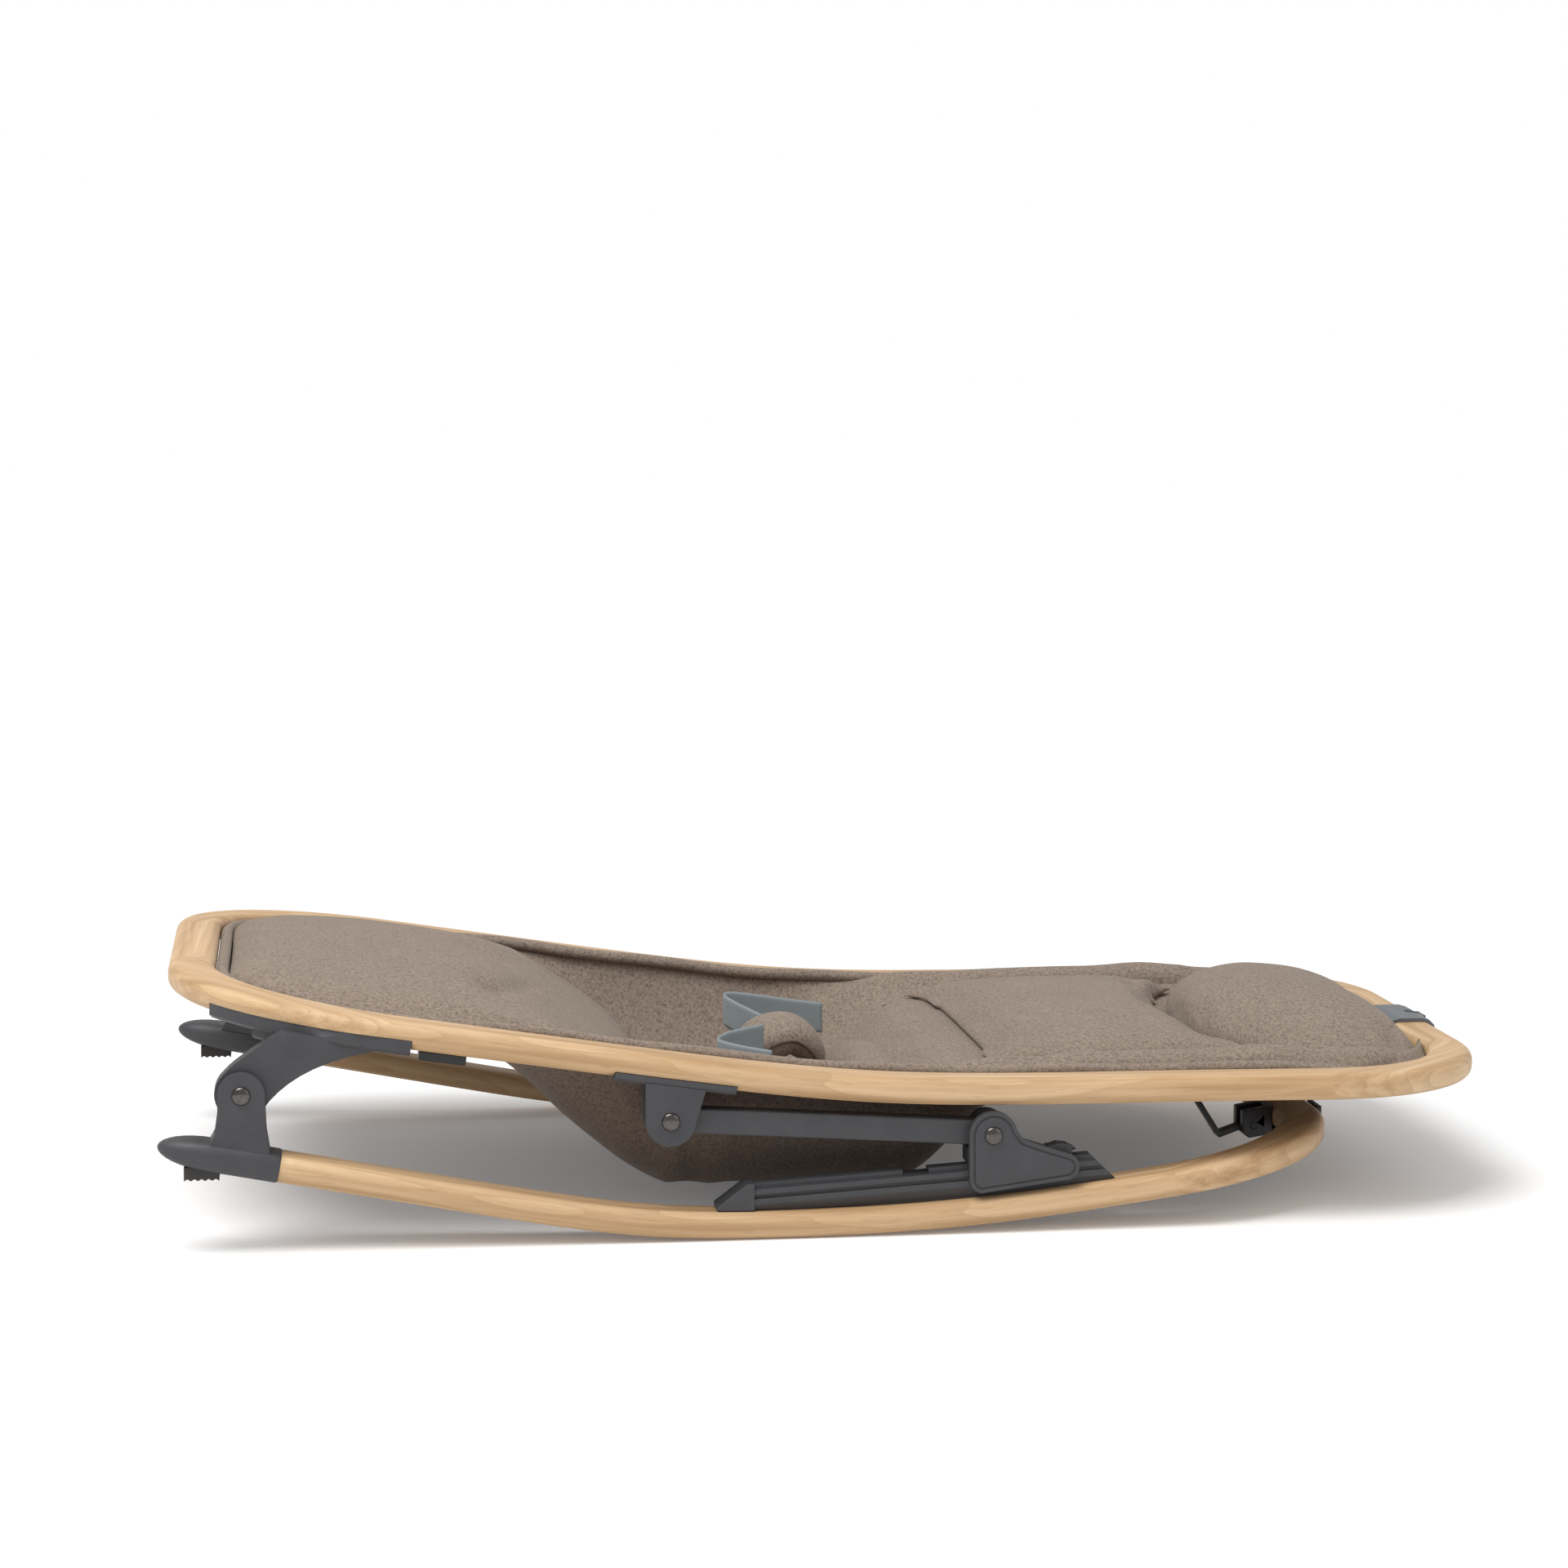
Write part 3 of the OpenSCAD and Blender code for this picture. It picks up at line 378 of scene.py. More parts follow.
def makeWoodGrain():
    # long streaks, growth lines that wander, and short dark pores, on (along, across, up) in metres
    group, start, end = newGroup("woodGrain", [("Line Scale", 150.0), ("Wander", 1.0)],
                                 ["Streak", "Line", "Pore"])
    vector = start.outputs["Vector"]
    wander = noiseOn(group, stretched(group, vector, (3.0, 22.0, 22.0)), 1.0, 2.0)
    streak = noiseOn(group, stretched(group, vector, (4.0, 120.0, 120.0)), 1.0, 3.0, 0.6)
    split = node(group, "ShaderNodeSeparateXYZ")
    group.links.new(vector, split.inputs[0])
    across = maths(group, "ADD", split.outputs[1], maths(group, "MULTIPLY", split.outputs[2], 0.45))
    phase = maths(group, "ADD", maths(group, "MULTIPLY", across, start.outputs["Line Scale"]),
                  maths(group, "MULTIPLY", maths(group, "MULTIPLY", wander, 9.0), start.outputs["Wander"]))
    fraction = maths(group, "FRACT", phase)
    line = maths(group, "POWER", fraction, 2.4)
    pore = noiseOn(group, stretched(group, vector, (70.0, 1500.0, 1500.0)), 1.0, 1.0)
    pore = maths(group, "MULTIPLY", maths(group, "SUBTRACT", pore, 0.58, clamp=True), 5.0, clamp=True)
    for label, value in (("Streak", streak), ("Line", line), ("Pore", pore)):
        group.links.new(value, end.inputs[label])
    return group


def makeFeltFibres():
    # melange flecks, short crossing fibres and soft clouds, on object coordinates in metres
    group, start, end = newGroup("feltFibres", [("Fleck Scale", 900.0)], ["Fleck", "Fibre", "Cloud"])
    vector = start.outputs["Vector"]
    fleck = node(group, "ShaderNodeTexNoise", Detail=3.0, Roughness=0.75)
    group.links.new(vector, fleck.inputs["Vector"])
    group.links.new(start.outputs["Fleck Scale"], fleck.inputs["Scale"])
    first = noiseOn(group, stretched(group, vector, (350.0, 1500.0, 900.0)), 1.0, 2.0, 0.6, 0.6)
    second = noiseOn(group, stretched(group, vector, (1500.0, 350.0, 700.0)), 1.0, 2.0, 0.6, 0.6)
    cloud = noiseOn(group, vector, 28.0, 3.0, 0.55)
    group.links.new(fleck.outputs["Fac"], end.inputs["Fleck"])
    group.links.new(maths(group, "MAXIMUM", first, second), end.inputs["Fibre"])
    group.links.new(cloud, end.inputs["Cloud"])
    return group


def makeMouldGrain():
    # the fine leathery grain of an eroded mould and the faint clouding of handled plastic
    group, start, end = newGroup("mouldGrain", [("Grain Scale", 2600.0)], ["Grain", "Cloud"])
    vector = start.outputs["Vector"]
    cells = node(group, "ShaderNodeTexVoronoi")
    group.links.new(vector, cells.inputs["Vector"])
    group.links.new(start.outputs["Grain Scale"], cells.inputs["Scale"])
    group.links.new(cells.outputs["Distance"], end.inputs["Grain"])
    group.links.new(noiseOn(group, vector, 60.0, 4.0, 0.6), end.inputs["Cloud"])
    return group


def objectSpace(tree):
    return tree.nodes.new("ShaderNodeTexCoord").outputs["Object"]


def makeWood(name, pale, mid, dark, lineScale=150.0):
    mat, tree, shader = newMaterial(name)
    source = node(tree, "ShaderNodeAttribute")
    source.attribute_name = "grainSpace"
    grain = placeGroup(tree, woodGrain, source.outputs["Vector"], **{"Line Scale": lineScale, "Wander": 1.0})
    colour = colourRamp(tree, grain.outputs["Streak"], [(0.28, dark), (0.5, mid), (0.72, pale)])
    colour = mixColour(tree, maths(tree, "MULTIPLY", grain.outputs["Line"], 0.42), colour, dark)
    colour = mixColour(tree, maths(tree, "MULTIPLY", grain.outputs["Pore"], 0.35), colour,
                       tuple(c * 0.62 for c in dark))
    tree.links.new(colour, shader.inputs["Base Color"])
    rough = maths(tree, "ADD", maths(tree, "MULTIPLY", grain.outputs["Streak"], 0.15), 0.42)
    tree.links.new(rough, shader.inputs["Roughness"])
    height = maths(tree, "SUBTRACT", grain.outputs["Line"], grain.outputs["Pore"])
    tree.links.new(bumpFrom(tree, height, 0.12, 0.0004), shader.inputs["Normal"])
    shader.inputs["Specular IOR Level"].default_value = 0.35
    return mat


def makeFelt(name, lit, deep, sheen=0.1):
    mat, tree, shader = newMaterial(name)
    felt = placeGroup(tree, feltFibres, objectSpace(tree), **{"Fleck Scale": 520.0})
    stops = [(0.32, deep), (0.52, lit), (0.72, tuple(c * 1.3 for c in lit))]
    colour = colourRamp(tree, felt.outputs["Fleck"], stops)
    colour = mixColour(tree, maths(tree, "MULTIPLY", felt.outputs["Cloud"], 0.35), colour, deep)
    bright = maths(tree, "SUBTRACT", felt.outputs["Fibre"], 0.6, clamp=True)
    bright = maths(tree, "MULTIPLY", bright, 1.6, clamp=True)
    colour = mixColour(tree, bright, colour, tuple(min(c * 1.7, 1) for c in lit))
    tree.links.new(colour, shader.inputs["Base Color"])
    rough = maths(tree, "ADD", maths(tree, "MULTIPLY", felt.outputs["Fibre"], 0.15), 0.8)
    tree.links.new(rough, shader.inputs["Roughness"])
    height = maths(tree, "ADD", felt.outputs["Fibre"], maths(tree, "MULTIPLY", felt.outputs["Fleck"], 0.6))
    tree.links.new(bumpFrom(tree, height, 0.35, 0.0006), shader.inputs["Normal"])
    shader.inputs["Sheen Weight"].default_value = sheen
    shader.inputs["Sheen Roughness"].default_value = 0.45
    shader.inputs["Sheen Tint"].default_value = (0.95, 0.88, 0.8, 1)
    shader.inputs["Specular IOR Level"].default_value = 0.15
    return mat


def makePlastic(name, colour, rough, grainScale=2600.0, bump=0.12, level=0.4):
    mat, tree, shader = newMaterial(name)
    mould = placeGroup(tree, mouldGrain, objectSpace(tree), **{"Grain Scale": grainScale})
    stops = [(place, tuple(c * gain for c in colour)) for place, gain in ((0.3, 0.88), (0.7, 1.12))]
    tint = colourRamp(tree, mould.outputs["Cloud"], stops)
    tree.links.new(tint, shader.inputs["Base Color"])
    tree.links.new(maths(tree, "ADD", maths(tree, "MULTIPLY", mould.outputs["Cloud"], 0.14), rough - 0.07),
                   shader.inputs["Roughness"])
    tree.links.new(bumpFrom(tree, mould.outputs["Grain"], bump, 0.0002), shader.inputs["Normal"])
    shader.inputs["Specular IOR Level"].default_value = level
    return mat


def makeMetal(name, colour, rough, brushed=(40.0, 900.0, 900.0)):
    mat, tree, shader = newMaterial(name)
    lines = noiseOn(tree, stretched(tree, objectSpace(tree), brushed), 1.0, 3.0)
    stops = [(place, tuple(c * gain for c in colour)) for place, gain in ((0.3, 0.85), (0.7, 1.1))]
    tint = colourRamp(tree, lines, stops)
    tree.links.new(tint, shader.inputs["Base Color"])
    tree.links.new(maths(tree, "ADD", maths(tree, "MULTIPLY", lines, 0.16), rough - 0.08),
                   shader.inputs["Roughness"])
    shader.inputs["Metallic"].default_value = 1.0
    return mat


def makeWebbing(name, lit, deep):
    # herringbone: threads climb one way and then the other in bands across, on the band map in metres
    mat, tree, shader = newMaterial(name)
    source = tree.nodes.new("ShaderNodeUVMap")
    source.uv_map = "bandMap"
    split = node(tree, "ShaderNodeSeparateXYZ")
    tree.links.new(source.outputs[0], split.inputs[0])
    along, over = split.outputs[0], split.outputs[1]
    band = maths(tree, "PINGPONG", over, 0.0033)
    climb = maths(tree, "ADD", along, maths(tree, "MULTIPLY", band, 1.3))
    thread = maths(tree, "SINE", maths(tree, "MULTIPLY", climb, 5200.0))
    weft = maths(tree, "SINE", maths(tree, "MULTIPLY", over, 7400.0))
    height = maths(tree, "ADD", maths(tree, "MULTIPLY", thread, 0.35), maths(tree, "MULTIPLY", weft, 0.15))
    height = maths(tree, "ADD", height, 0.5)
    # the colour follows the threads' height: painted shade in the grooves between threads and painted
    # highlight on their crests
    stops = [(0.15, deep), (0.6, lit), (0.95, tuple(min(c * 1.25, 1) for c in lit))]
    tree.links.new(colourRamp(tree, height, stops), shader.inputs["Base Color"])
    tree.links.new(bumpFrom(tree, height, 0.5, 0.0004), shader.inputs["Normal"])
    tree.links.new(maths(tree, "ADD", maths(tree, "MULTIPLY", height, 0.2), 0.5), shader.inputs["Roughness"])
    shader.inputs["Sheen Weight"].default_value = 0.15
    return mat


woodGrain = makeWoodGrain()
feltFibres = makeFeltFibres()
mouldGrain = makeMouldGrain()
ashWood = makeWood("ashWood", (0.62, 0.44, 0.265), (0.52, 0.345, 0.19), (0.36, 0.215, 0.10))
taupeFelt = makeFelt("taupeFelt", (0.25, 0.199, 0.16), (0.12, 0.092, 0.073))
# a darker copy of the felt: painted shade on the cover's underside, and the colour of the tongue's seam and
# the bar tacks
paintedShadeAndSeamFelt = makeFelt("paintedShadeAndSeamFelt", (0.135, 0.102, 0.082), (0.065, 0.048, 0.038), 0.15)
greyWebbing = makeWebbing("greyWebbing", (0.27, 0.31, 0.325), (0.09, 0.11, 0.12))
slotMaterial = {
    "wood": ashWood,
    "graphite_plastic": makePlastic("graphiteMoulding", (0.044, 0.044, 0.048), 0.5),
    "rubber": makePlastic("footRubber", (0.045, 0.042, 0.040), 0.75, 1800.0, 0.25, 0.25),
    "fastener_steel": makeMetal("zincSteel", (0.55, 0.55, 0.54), 0.35),
    "dark_nickel": makeMetal("darkNickel", (0.11, 0.10, 0.095), 0.2, (300.0, 300.0, 300.0)),
    "nylon": makePlastic("nylonWasher", (0.30, 0.30, 0.30), 0.5),
    "clip_plastic": makePlastic("clipMoulding", (0.095, 0.103, 0.113), 0.36, 3200.0, 0.06),
    "black_steel": makePlastic("blackPowderCoat", (0.012, 0.012, 0.013), 0.38, 2200.0, 0.18),
    "felt_cloth": taupeFelt,
    "webbing": greyWebbing,
}
slotOf = {s["node"]: s["material_slot"] for s in frame["record"]["subparts"]}
bodyOf = {n: b for b, names in frame["record"]["behaviour"]["bodies"].items() for n in names}
for nodeName, cadObject in frame["nodes"].items():
    cadObject.data.materials.clear()
    cadObject.data.materials.append(slotMaterial[slotOf[nodeName]])
setUpStudio()


def finish(piece, material, body, replaced=()):
    if not piece.data.materials:
        piece.data.materials.append(material)
    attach(piece, body)
    if replaced:
        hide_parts(*replaced)
    return piece


bar = {"width": 28.0, "height": 16.0, "edgeRound": 6.5, "corners": 7}
seat = {"footCorner": 115.0, "headCorner": 104.0, "level": 82.2, "slope": 0.155, "bendX": 10.0,
        "bendSoft": 40.0, "droopX": 142.0, "headDrop": 3.0, "armFrom": 23.0, "armTo": 128.0, "armCut": 6.0,
        "bracketAt": -109.0, "bracketHalf": 35.5, "bracketShift": 4.0, "bracketCut": 3.0,
        "clipHalf": 9.0, "clipDepth": 1.5}
seatLow, seatHigh = (np.array(c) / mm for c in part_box("seat_ring"))
footX = float(seatLow[0]) + bar["width"] / 2
headX = float(seatHigh[0]) - bar["width"] / 2
seatHalf = float(seatHigh[1]) - bar["width"] / 2


def softRamp(d, s):
    return s * np.log1p(np.exp(d / s))


def ringZ(x):
    # level stretch, rising foot half and a slight droop at the head, as in the CAD
    return (seat["level"] + seat["slope"] * softRamp(seat["bendX"] - x, seat["bendSoft"])
            - seat["headDrop"] * (np.maximum(x - seat["droopX"], 0) / (headX - seat["droopX"])) ** 2)


def barSection(grow=0.0):
    # a rounded rectangle as points (outwards, up)
    a = np.concatenate([np.linspace(q * 90, q * 90 + 90, bar["corners"]) for q in range(4)])
    q = np.repeat(np.arange(4), bar["corners"])
    r = bar["edgeRound"] + grow
    sx = np.where((q == 0) | (q == 3), 1, -1) * (bar["width"] / 2 - bar["edgeRound"])
    sy = np.where(q < 2, 1, -1) * (bar["height"] / 2 - bar["edgeRound"])
    return np.stack([sx + r * np.cos(np.radians(a)), sy + r * np.sin(np.radians(a))], -1)


def arcStations(cx, cy, r, a0, a1, edges=(), count=26):
    a = np.linspace(a0, a1, count)
    extra = [s * math.degrees(math.acos((e - cx) / r)) for e in edges if abs(e - cx) < r for s in (1, -1)]
    turned = [e + k * 360 for e in extra for k in (0, 1) if a0 + 0.05 < e + k * 360 < a1 - 0.05]
    a = np.radians(np.sort(np.concatenate([a, turned])) if turned else a)
    return np.stack([cx + r * np.cos(a), cy + r * np.sin(a), np.cos(a), np.sin(a)], -1)


def sideStations(x0, x1, y, edges=(), count=56):
    x = np.linspace(x0, x1, count)[1:-1]
    inside = [e for e in edges if min(x0, x1) < e < max(x0, x1)]
    x = np.sort(np.concatenate([x, inside])) if inside else np.sort(x)
    x = x if x1 > x0 else x[::-1]
    return np.stack([x, 0 * x + y, 0 * x, 0 * x + np.sign(y)], -1)


def endStations(x, y0, y1, edges=(), count=16):
    y = np.linspace(y0, y1, count)[1:-1]
    y = np.sort(np.concatenate([y, edges])) if len(edges) else y
    return np.stack([0 * y + x, y, 0 * y + np.sign(x), 0 * y], -1)


def sweepBar(name, stations, heights, slopes, sections, closed):
    # each section stands on its station, its up side square to the bar's slope; the grain runs along the bar
    across = np.concatenate([stations[:, 2:4], np.zeros((len(stations), 1))], 1)
    flat = np.stack([-stations[:, 3], stations[:, 2], 0 * slopes], -1)
    along = unit(flat + np.stack([0 * slopes, 0 * slopes, slopes * flat[:, 0]], -1))
    up = np.cross(across, along)
    centre = np.stack([stations[:, 0], stations[:, 1], heights], -1)
    points = centre[:, None] + sections[..., :1] * across[:, None] + sections[..., 1:] * up[:, None]
    run = np.concatenate([[0], np.cumsum(np.linalg.norm(np.diff(centre, axis=0), axis=1))])
    swing = 26 * np.abs(2 * stations[:, 2] * stations[:, 3])
    grain = np.stack([run[:, None] + 0 * sections[..., 0], sections[..., 0] + swing[:, None],
                      sections[..., 1]], -1)
    rows, columns = sections.shape[:2]
    faces = gridFaces(rows, columns, wrapRows=closed, wrapColumns=True)
    if not closed:
        fan = np.arange(1, columns - 1)
        first = np.stack([0 * fan, fan + 1, fan, fan], -1)
        last = np.stack([0 * fan, fan, fan + 1, fan + 1], -1) + (rows - 1) * columns
        faces = np.concatenate([faces[:, ::-1], first[:, ::-1], last[:, ::-1]])
    else:
        faces = faces[:, ::-1]
    return meshPiece(name, points.reshape(-1, 3) * mm, faces, grain=grain.reshape(-1, 3) * mm)


def makeSeatRing():
    armFrom, armTo = footX + seat["armFrom"], footX + seat["armTo"]
    bracketFrom, bracketTo = (seat["bracketAt"] + k * seat["bracketHalf"] + seat["bracketShift"]
                              for k in (-1, 1))
    edges = [e + k * 0.1 for e in (armFrom, armTo, bracketFrom, bracketTo) for k in (-1, 1)]
    r, s = seat["footCorner"], seat["headCorner"]
    stations = np.concatenate([
        arcStations(footX + r, -seatHalf + r, r, 180, 270, edges),
        sideStations(footX + r, headX - s, -seatHalf, edges),
        arcStations(headX - s, -seatHalf + s, s, -90, 0),
        endStations(headX, -seatHalf + s, seatHalf - s, (-9.1, -8.9, 8.9, 9.1)),
        arcStations(headX - s, seatHalf - s, s, 0, 90),
        sideStations(headX - s, footX + r, seatHalf, edges),
        arcStations(footX + r, seatHalf - r, r, 90, 180, edges),
        endStations(footX, -seatHalf + r, seatHalf - r)[::-1]])
    x, y = stations[:, 0], stations[:, 1]
    section = np.broadcast_to(barSection(), (len(x), 4 * bar["corners"], 2)).copy()
    cut = (np.where((x > armFrom) & (x < armTo), seat["armCut"], 0)
           + np.where((x > bracketFrom) & (x < bracketTo), seat["bracketCut"], 0))
    section[..., 1] = np.maximum(section[..., 1], (-bar["height"] / 2 + cut)[:, None])
    mortise = (x > headX - 0.01) & (np.abs(y) < seat["clipHalf"])
    section[..., 0] = np.where(mortise[:, None], np.minimum(section[..., 0], seat["clipDepth"]),
                               section[..., 0])
    slopes = ringZ(x + 0.5) - ringZ(x - 0.5)
    ring = sweepBar("seatRing", stations, ringZ(x), slopes, section, True)
    return finish(ring, ashWood, "seat", ["seat_ring"])


hoop = {"footSlope": 0.193, "headSlope": 0.14, "footX": -118.0, "footSoft": 25.0, "rearX": 56.0,
        "rearSoft": 40.0, "corner": 105.0, "setback": 93.0, "over": 2.0, "hingeInset": 30.3,
        "capLength": 21.0}


def hoopRise(x):
    return (hoop["footSlope"] * softRamp(hoop["footX"] - x, hoop["footSoft"])
            + hoop["headSlope"] * softRamp(x - hoop["rearX"], hoop["rearSoft"]))


hoopLow = hoopRise(np.arange(-120, 61, 2.0)).min()


def hoopZ(x):
    return bar["height"] / 2 + hoopRise(x) - hoopLow


def makeBaseHoop():
    half = seatHalf + hoop["over"]
    end = footX + hoop["hingeInset"] + hoop["capLength"]
    head = headX - hoop["setback"]
    r = hoop["corner"]
    start = np.array([[x, -half, 0, -1] for x in (end - 34, end - 0.1, end + 0.1)])
    left = np.concatenate([start, sideStations(end + 0.2, head - r, -half, (), 70)])
    right = left[::-1] * np.array([1, -1, 1, -1])
    stations = np.concatenate([
        left, arcStations(head - r, -half + r, r, -90, 0), endStations(head, -half + r, half - r),
        arcStations(head - r, half - r, r, 0, 90), right])
    x = stations[:, 0]
    section = np.where((x < end)[:, None, None], barSection(-3.5), barSection())
    bend = sweepBar("rockingHoop", stations, hoopZ(x), hoopZ(x + 0.5) - hoopZ(x - 0.5), section, False)
    return finish(bend, ashWood, "base", ["base_hoop"])


makeSeatRing()
makeBaseHoop()
print("wooden bars made")


def ease(nodeName, width=0.6, segments=2, angle=32.0):
    source = frame["nodes"][nodeName]
    copy = source.data.copy()
    name = "".join(w.capitalize() if k else w for k, w in enumerate(nodeName.split("_")))
    piece = bpy.data.objects.new(name, copy)
    scene.collection.objects.link(piece)
    weld = piece.modifiers.new("weld", "WELD")
    weld.merge_threshold = 0.00001
    bake(piece)
    piece.data.set_sharp_from_angle(angle=math.radians(angle))
    if width:
        edge = piece.modifiers.new("edge", "BEVEL")
        edge.width = width * mm
        edge.segments = segments
        edge.limit_method = "ANGLE"
        edge.angle_limit = math.radians(angle)
        edge.use_clamp_overlap = True
        edge.harden_normals = True
    return finish(piece, slotMaterial[slotOf[nodeName]], bodyOf[nodeName], [nodeName])


easing = {"foot_cap": 0.8, "seat_arm": 1.0, "mid_bracket": 0.8, "rail": 0.6, "rail_end_cap": 0.8,
          "slider": 0.9, "release_key": 0.5, "foot_pad": 0.3, "stand_clamp": 0.6, "cover_anchor": 0.6}
for part, width in easing.items():
    for side in ("left", "right"):
        ease(f"{part}_{side}", width)
for part, width in (("head_clip", 0.9), ("stand", 0.5), ("stand_sleeve", 0.3), ("foot_hinge_pins", 0),
                    ("link_pins", 0), ("slider_rivets", 0), ("hinge_washers", 0), ("link_washers", 0)):
    ease(part, width)
link = {"half": 7.3, "edge": 1.4, "rows": 6}


def makeLink(side):
    # a bar with round ends: its outline is drawn in along a quarter circle towards each flat face
    linkNode = "link_" + side
    low, high = (np.array(c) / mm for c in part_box(linkNode))
    r, edge = link["half"], link["edge"]
    a, b = np.array([low[0] + r, high[2] - r]), np.array([high[0] - r, low[2] + r])
    turn = math.atan2(b[1] - a[1], b[0] - a[0])
    q = np.radians(np.concatenate([np.linspace(90, 270, 24), np.linspace(-90, 90, 24)])) + turn
    centre = np.repeat([a, b], 24, axis=0)
    out = np.stack([np.cos(q), np.sin(q)], -1)
    bend = np.linspace(0, math.pi / 2, link["rows"])
    inset = edge * (1 - np.sin(bend))
    rise = edge * (1 - np.cos(bend))
    inset = np.concatenate([inset, inset[::-1]])
    y = np.concatenate([low[1] + rise, (high[1] - rise)[::-1]])
    flat = centre[None] + out[None] * (r - inset)[:, None, None]
    points = np.stack([flat[..., 0], y[:, None] + 0 * flat[..., 0], flat[..., 1]], -1)
    wall = gridFaces(len(y), 48, wrapColumns=True)
    i = np.arange(23)
    cap = np.stack([i, i + 1, 46 - i, 47 - i], -1)
    faces = np.concatenate([wall[:, ::-1], cap[:, ::-1], cap + 48 * (len(y) - 1)])
    piece = meshPiece("link" + side.capitalize(), points.reshape(-1, 3) * mm, faces)
    faceOutward(piece)
    piece.data.set_sharp_from_angle(angle=math.radians(40))
    return finish(piece, slotMaterial[slotOf[linkNode]], bodyOf[linkNode], [linkNode])


makeLink("left")
makeLink("right")
print("moulded parts eased")

cover = {"gap": 1.8, "edgeDrop": 4.0, "shallow": 6.0, "floor": 12.0, "thick": 5.0, "power": 8.0,
         "wing": 11.5, "under": (-233.0, -93.0, 37.0, 107.0), "over": (-214.0, -84.0, -24.0, 84.0)}


def innerHalf(x):
    # half width of the space inside the ring
    c = np.where(x < 0, seat["footCorner"], seat["headCorner"])
    r = c - bar["width"] / 2
    d = np.maximum(np.where(x < 0, footX + c - x, x - headX + c), 0)
    return seatHalf - c + np.sqrt(np.maximum(r * r - d * d, 0)) - cover["gap"]


def pocket(x, marks):
    return blend((x - marks[0]) / (marks[1] - marks[0])) * (1 - blend((x - marks[2]) / (marks[3] - marks[2])))


def coverUnder(x, y):
    # the cover's underside: flat near the ring's edge, dropping to the hip pocket's floor
    t = np.clip(np.abs(y) / innerHalf(x), 0, 1)
    edge = ringZ(x) - cover["edgeDrop"]
    depth = cover["shallow"] + (edge - cover["floor"] - cover["shallow"]) * pocket(x, cover["under"])
    return edge - depth * (1 - t ** 7)


def coverOver(x, y):
    # the upper side, whose pocket is shorter than the underside's
    t = np.clip(np.abs(y) / innerHalf(x), 0, 1)
    edge = ringZ(x) + 1.0 + 4.5 * blend((x + 330) / 170) * (1 - blend((x - 262) / 70))
    floor = cover["floor"] + cover["thick"]
    depth = cover["shallow"] + (edge - floor - cover["shallow"]) * pocket(x, cover["over"])
    wing = cover["wing"] * blend((x + 30) / 130) * np.exp(-((t - 0.9) / 0.075) ** 2)
    return edge - depth * (1 - t ** cover["power"]) + wing


def stripGrid(x0, x1, nx, ny, edge0, edge1):
    x = np.linspace(x0, x1, nx)[:, None] + np.zeros((1, ny))
    t = np.linspace(0, 1, ny)[None, :]
    low, high = edge0(x), edge1(x)
    return x, low + (high - low) * t


def makeCover():
    x, y = stripGrid(footX + 14.6, headX - 14.9, 146, 84, lambda v: -innerHalf(v), innerHalf)
    # puckers hang in the pocket's underside, and shallow waves run along its walls
    near = np.exp(-((np.abs(y) - 150) / 26) ** 2)
    hang = near * (8.0 * np.exp(-((x + 104) / 7) ** 2) + 7.0 * np.exp(-((x + 78) / 10) ** 2)
                   - 5.0 * np.exp(-((x + 92) / 5) ** 2) + 4.0 * np.exp(-((x + 168) / 9) ** 2)
                   + 3.0 * np.exp(-((x + 132) / 7) ** 2))
    ripple = 1.6 * np.sin(x / 13 + y / 31) * np.sin(y / 23 - x / 47) * pocket(x, cover["under"])
    bottom = coverUnder(x, y) - hang * pocket(x, cover["under"]) + ripple * 0.8
    bottom = np.maximum(bottom, cover["floor"] - 6.0)
    top = np.maximum(coverOver(x, y) + ripple, bottom + 3.0)
    piece = solidBetween("seatCover", x, y, top, bottom)
    subdivide(piece)
    finish(piece, taupeFelt, "seat", ["sling"])
    # the faces that look down get a darker copy of the felt: painted shade
    piece.data.materials.append(paintedShadeAndSeamFelt)
    count = len(piece.data.polygons)
    normals = np.empty(count * 3, dtype=np.float32)
    piece.data.polygons.foreach_get("normal", normals)
    piece.data.polygons.foreach_set("material_index", (normals[2::3] < -0.05).astype(np.int32))


edgeRoll = {"inset": 18.2, "radius": 3.8, "lift": 2.4, "crown": 4.6, "headDip": 9.0, "wave": 0.5}


def makeEdgeRoll():
    # the cover's padded edge, which lies against the ring's inner side all the way round
    inset = edgeRoll["inset"]
    hw = seatHalf - inset
    x0, x1 = footX + inset, headX - inset
    r, s = seat["footCorner"] - inset, seat["headCorner"] - inset
    stations = np.concatenate([
        arcStations(x0 + r, -hw + r, r, 180, 270), sideStations(x0 + r, x1 - s, -hw, (), 90),
        arcStations(x1 - s, -hw + s, s, -90, 0), endStations(x1, -hw + s, hw - s),
        arcStations(x1 - s, hw - s, s, 0, 90), sideStations(x1 - s, x0 + r, hw, (), 90),
        arcStations(x0 + r, hw - r, r, 90, 180), endStations(x0, -hw + r, hw - r)[::-1]])
    x, y = stations[:, 0], stations[:, 1]
    z = (ringZ(x) + edgeRoll["lift"] + edgeRoll["crown"] * blend((x + 330) / 170)
         - edgeRoll["headDip"] * blend((x - 262) / 70) + edgeRoll["wave"] * np.sin(x / 17 + y / 29))
    piece = tube("coverEdgeRoll", np.stack([x, y, z], -1), edgeRoll["radius"], 14, closed=True)
    return finish(piece, taupeFelt, "seat")


pocketSeam = {"from": -206.0, "to": -92.0, "edgeGap": 9.0, "turnIn": 17.0, "lift": 2.5, "radius": 4.2}


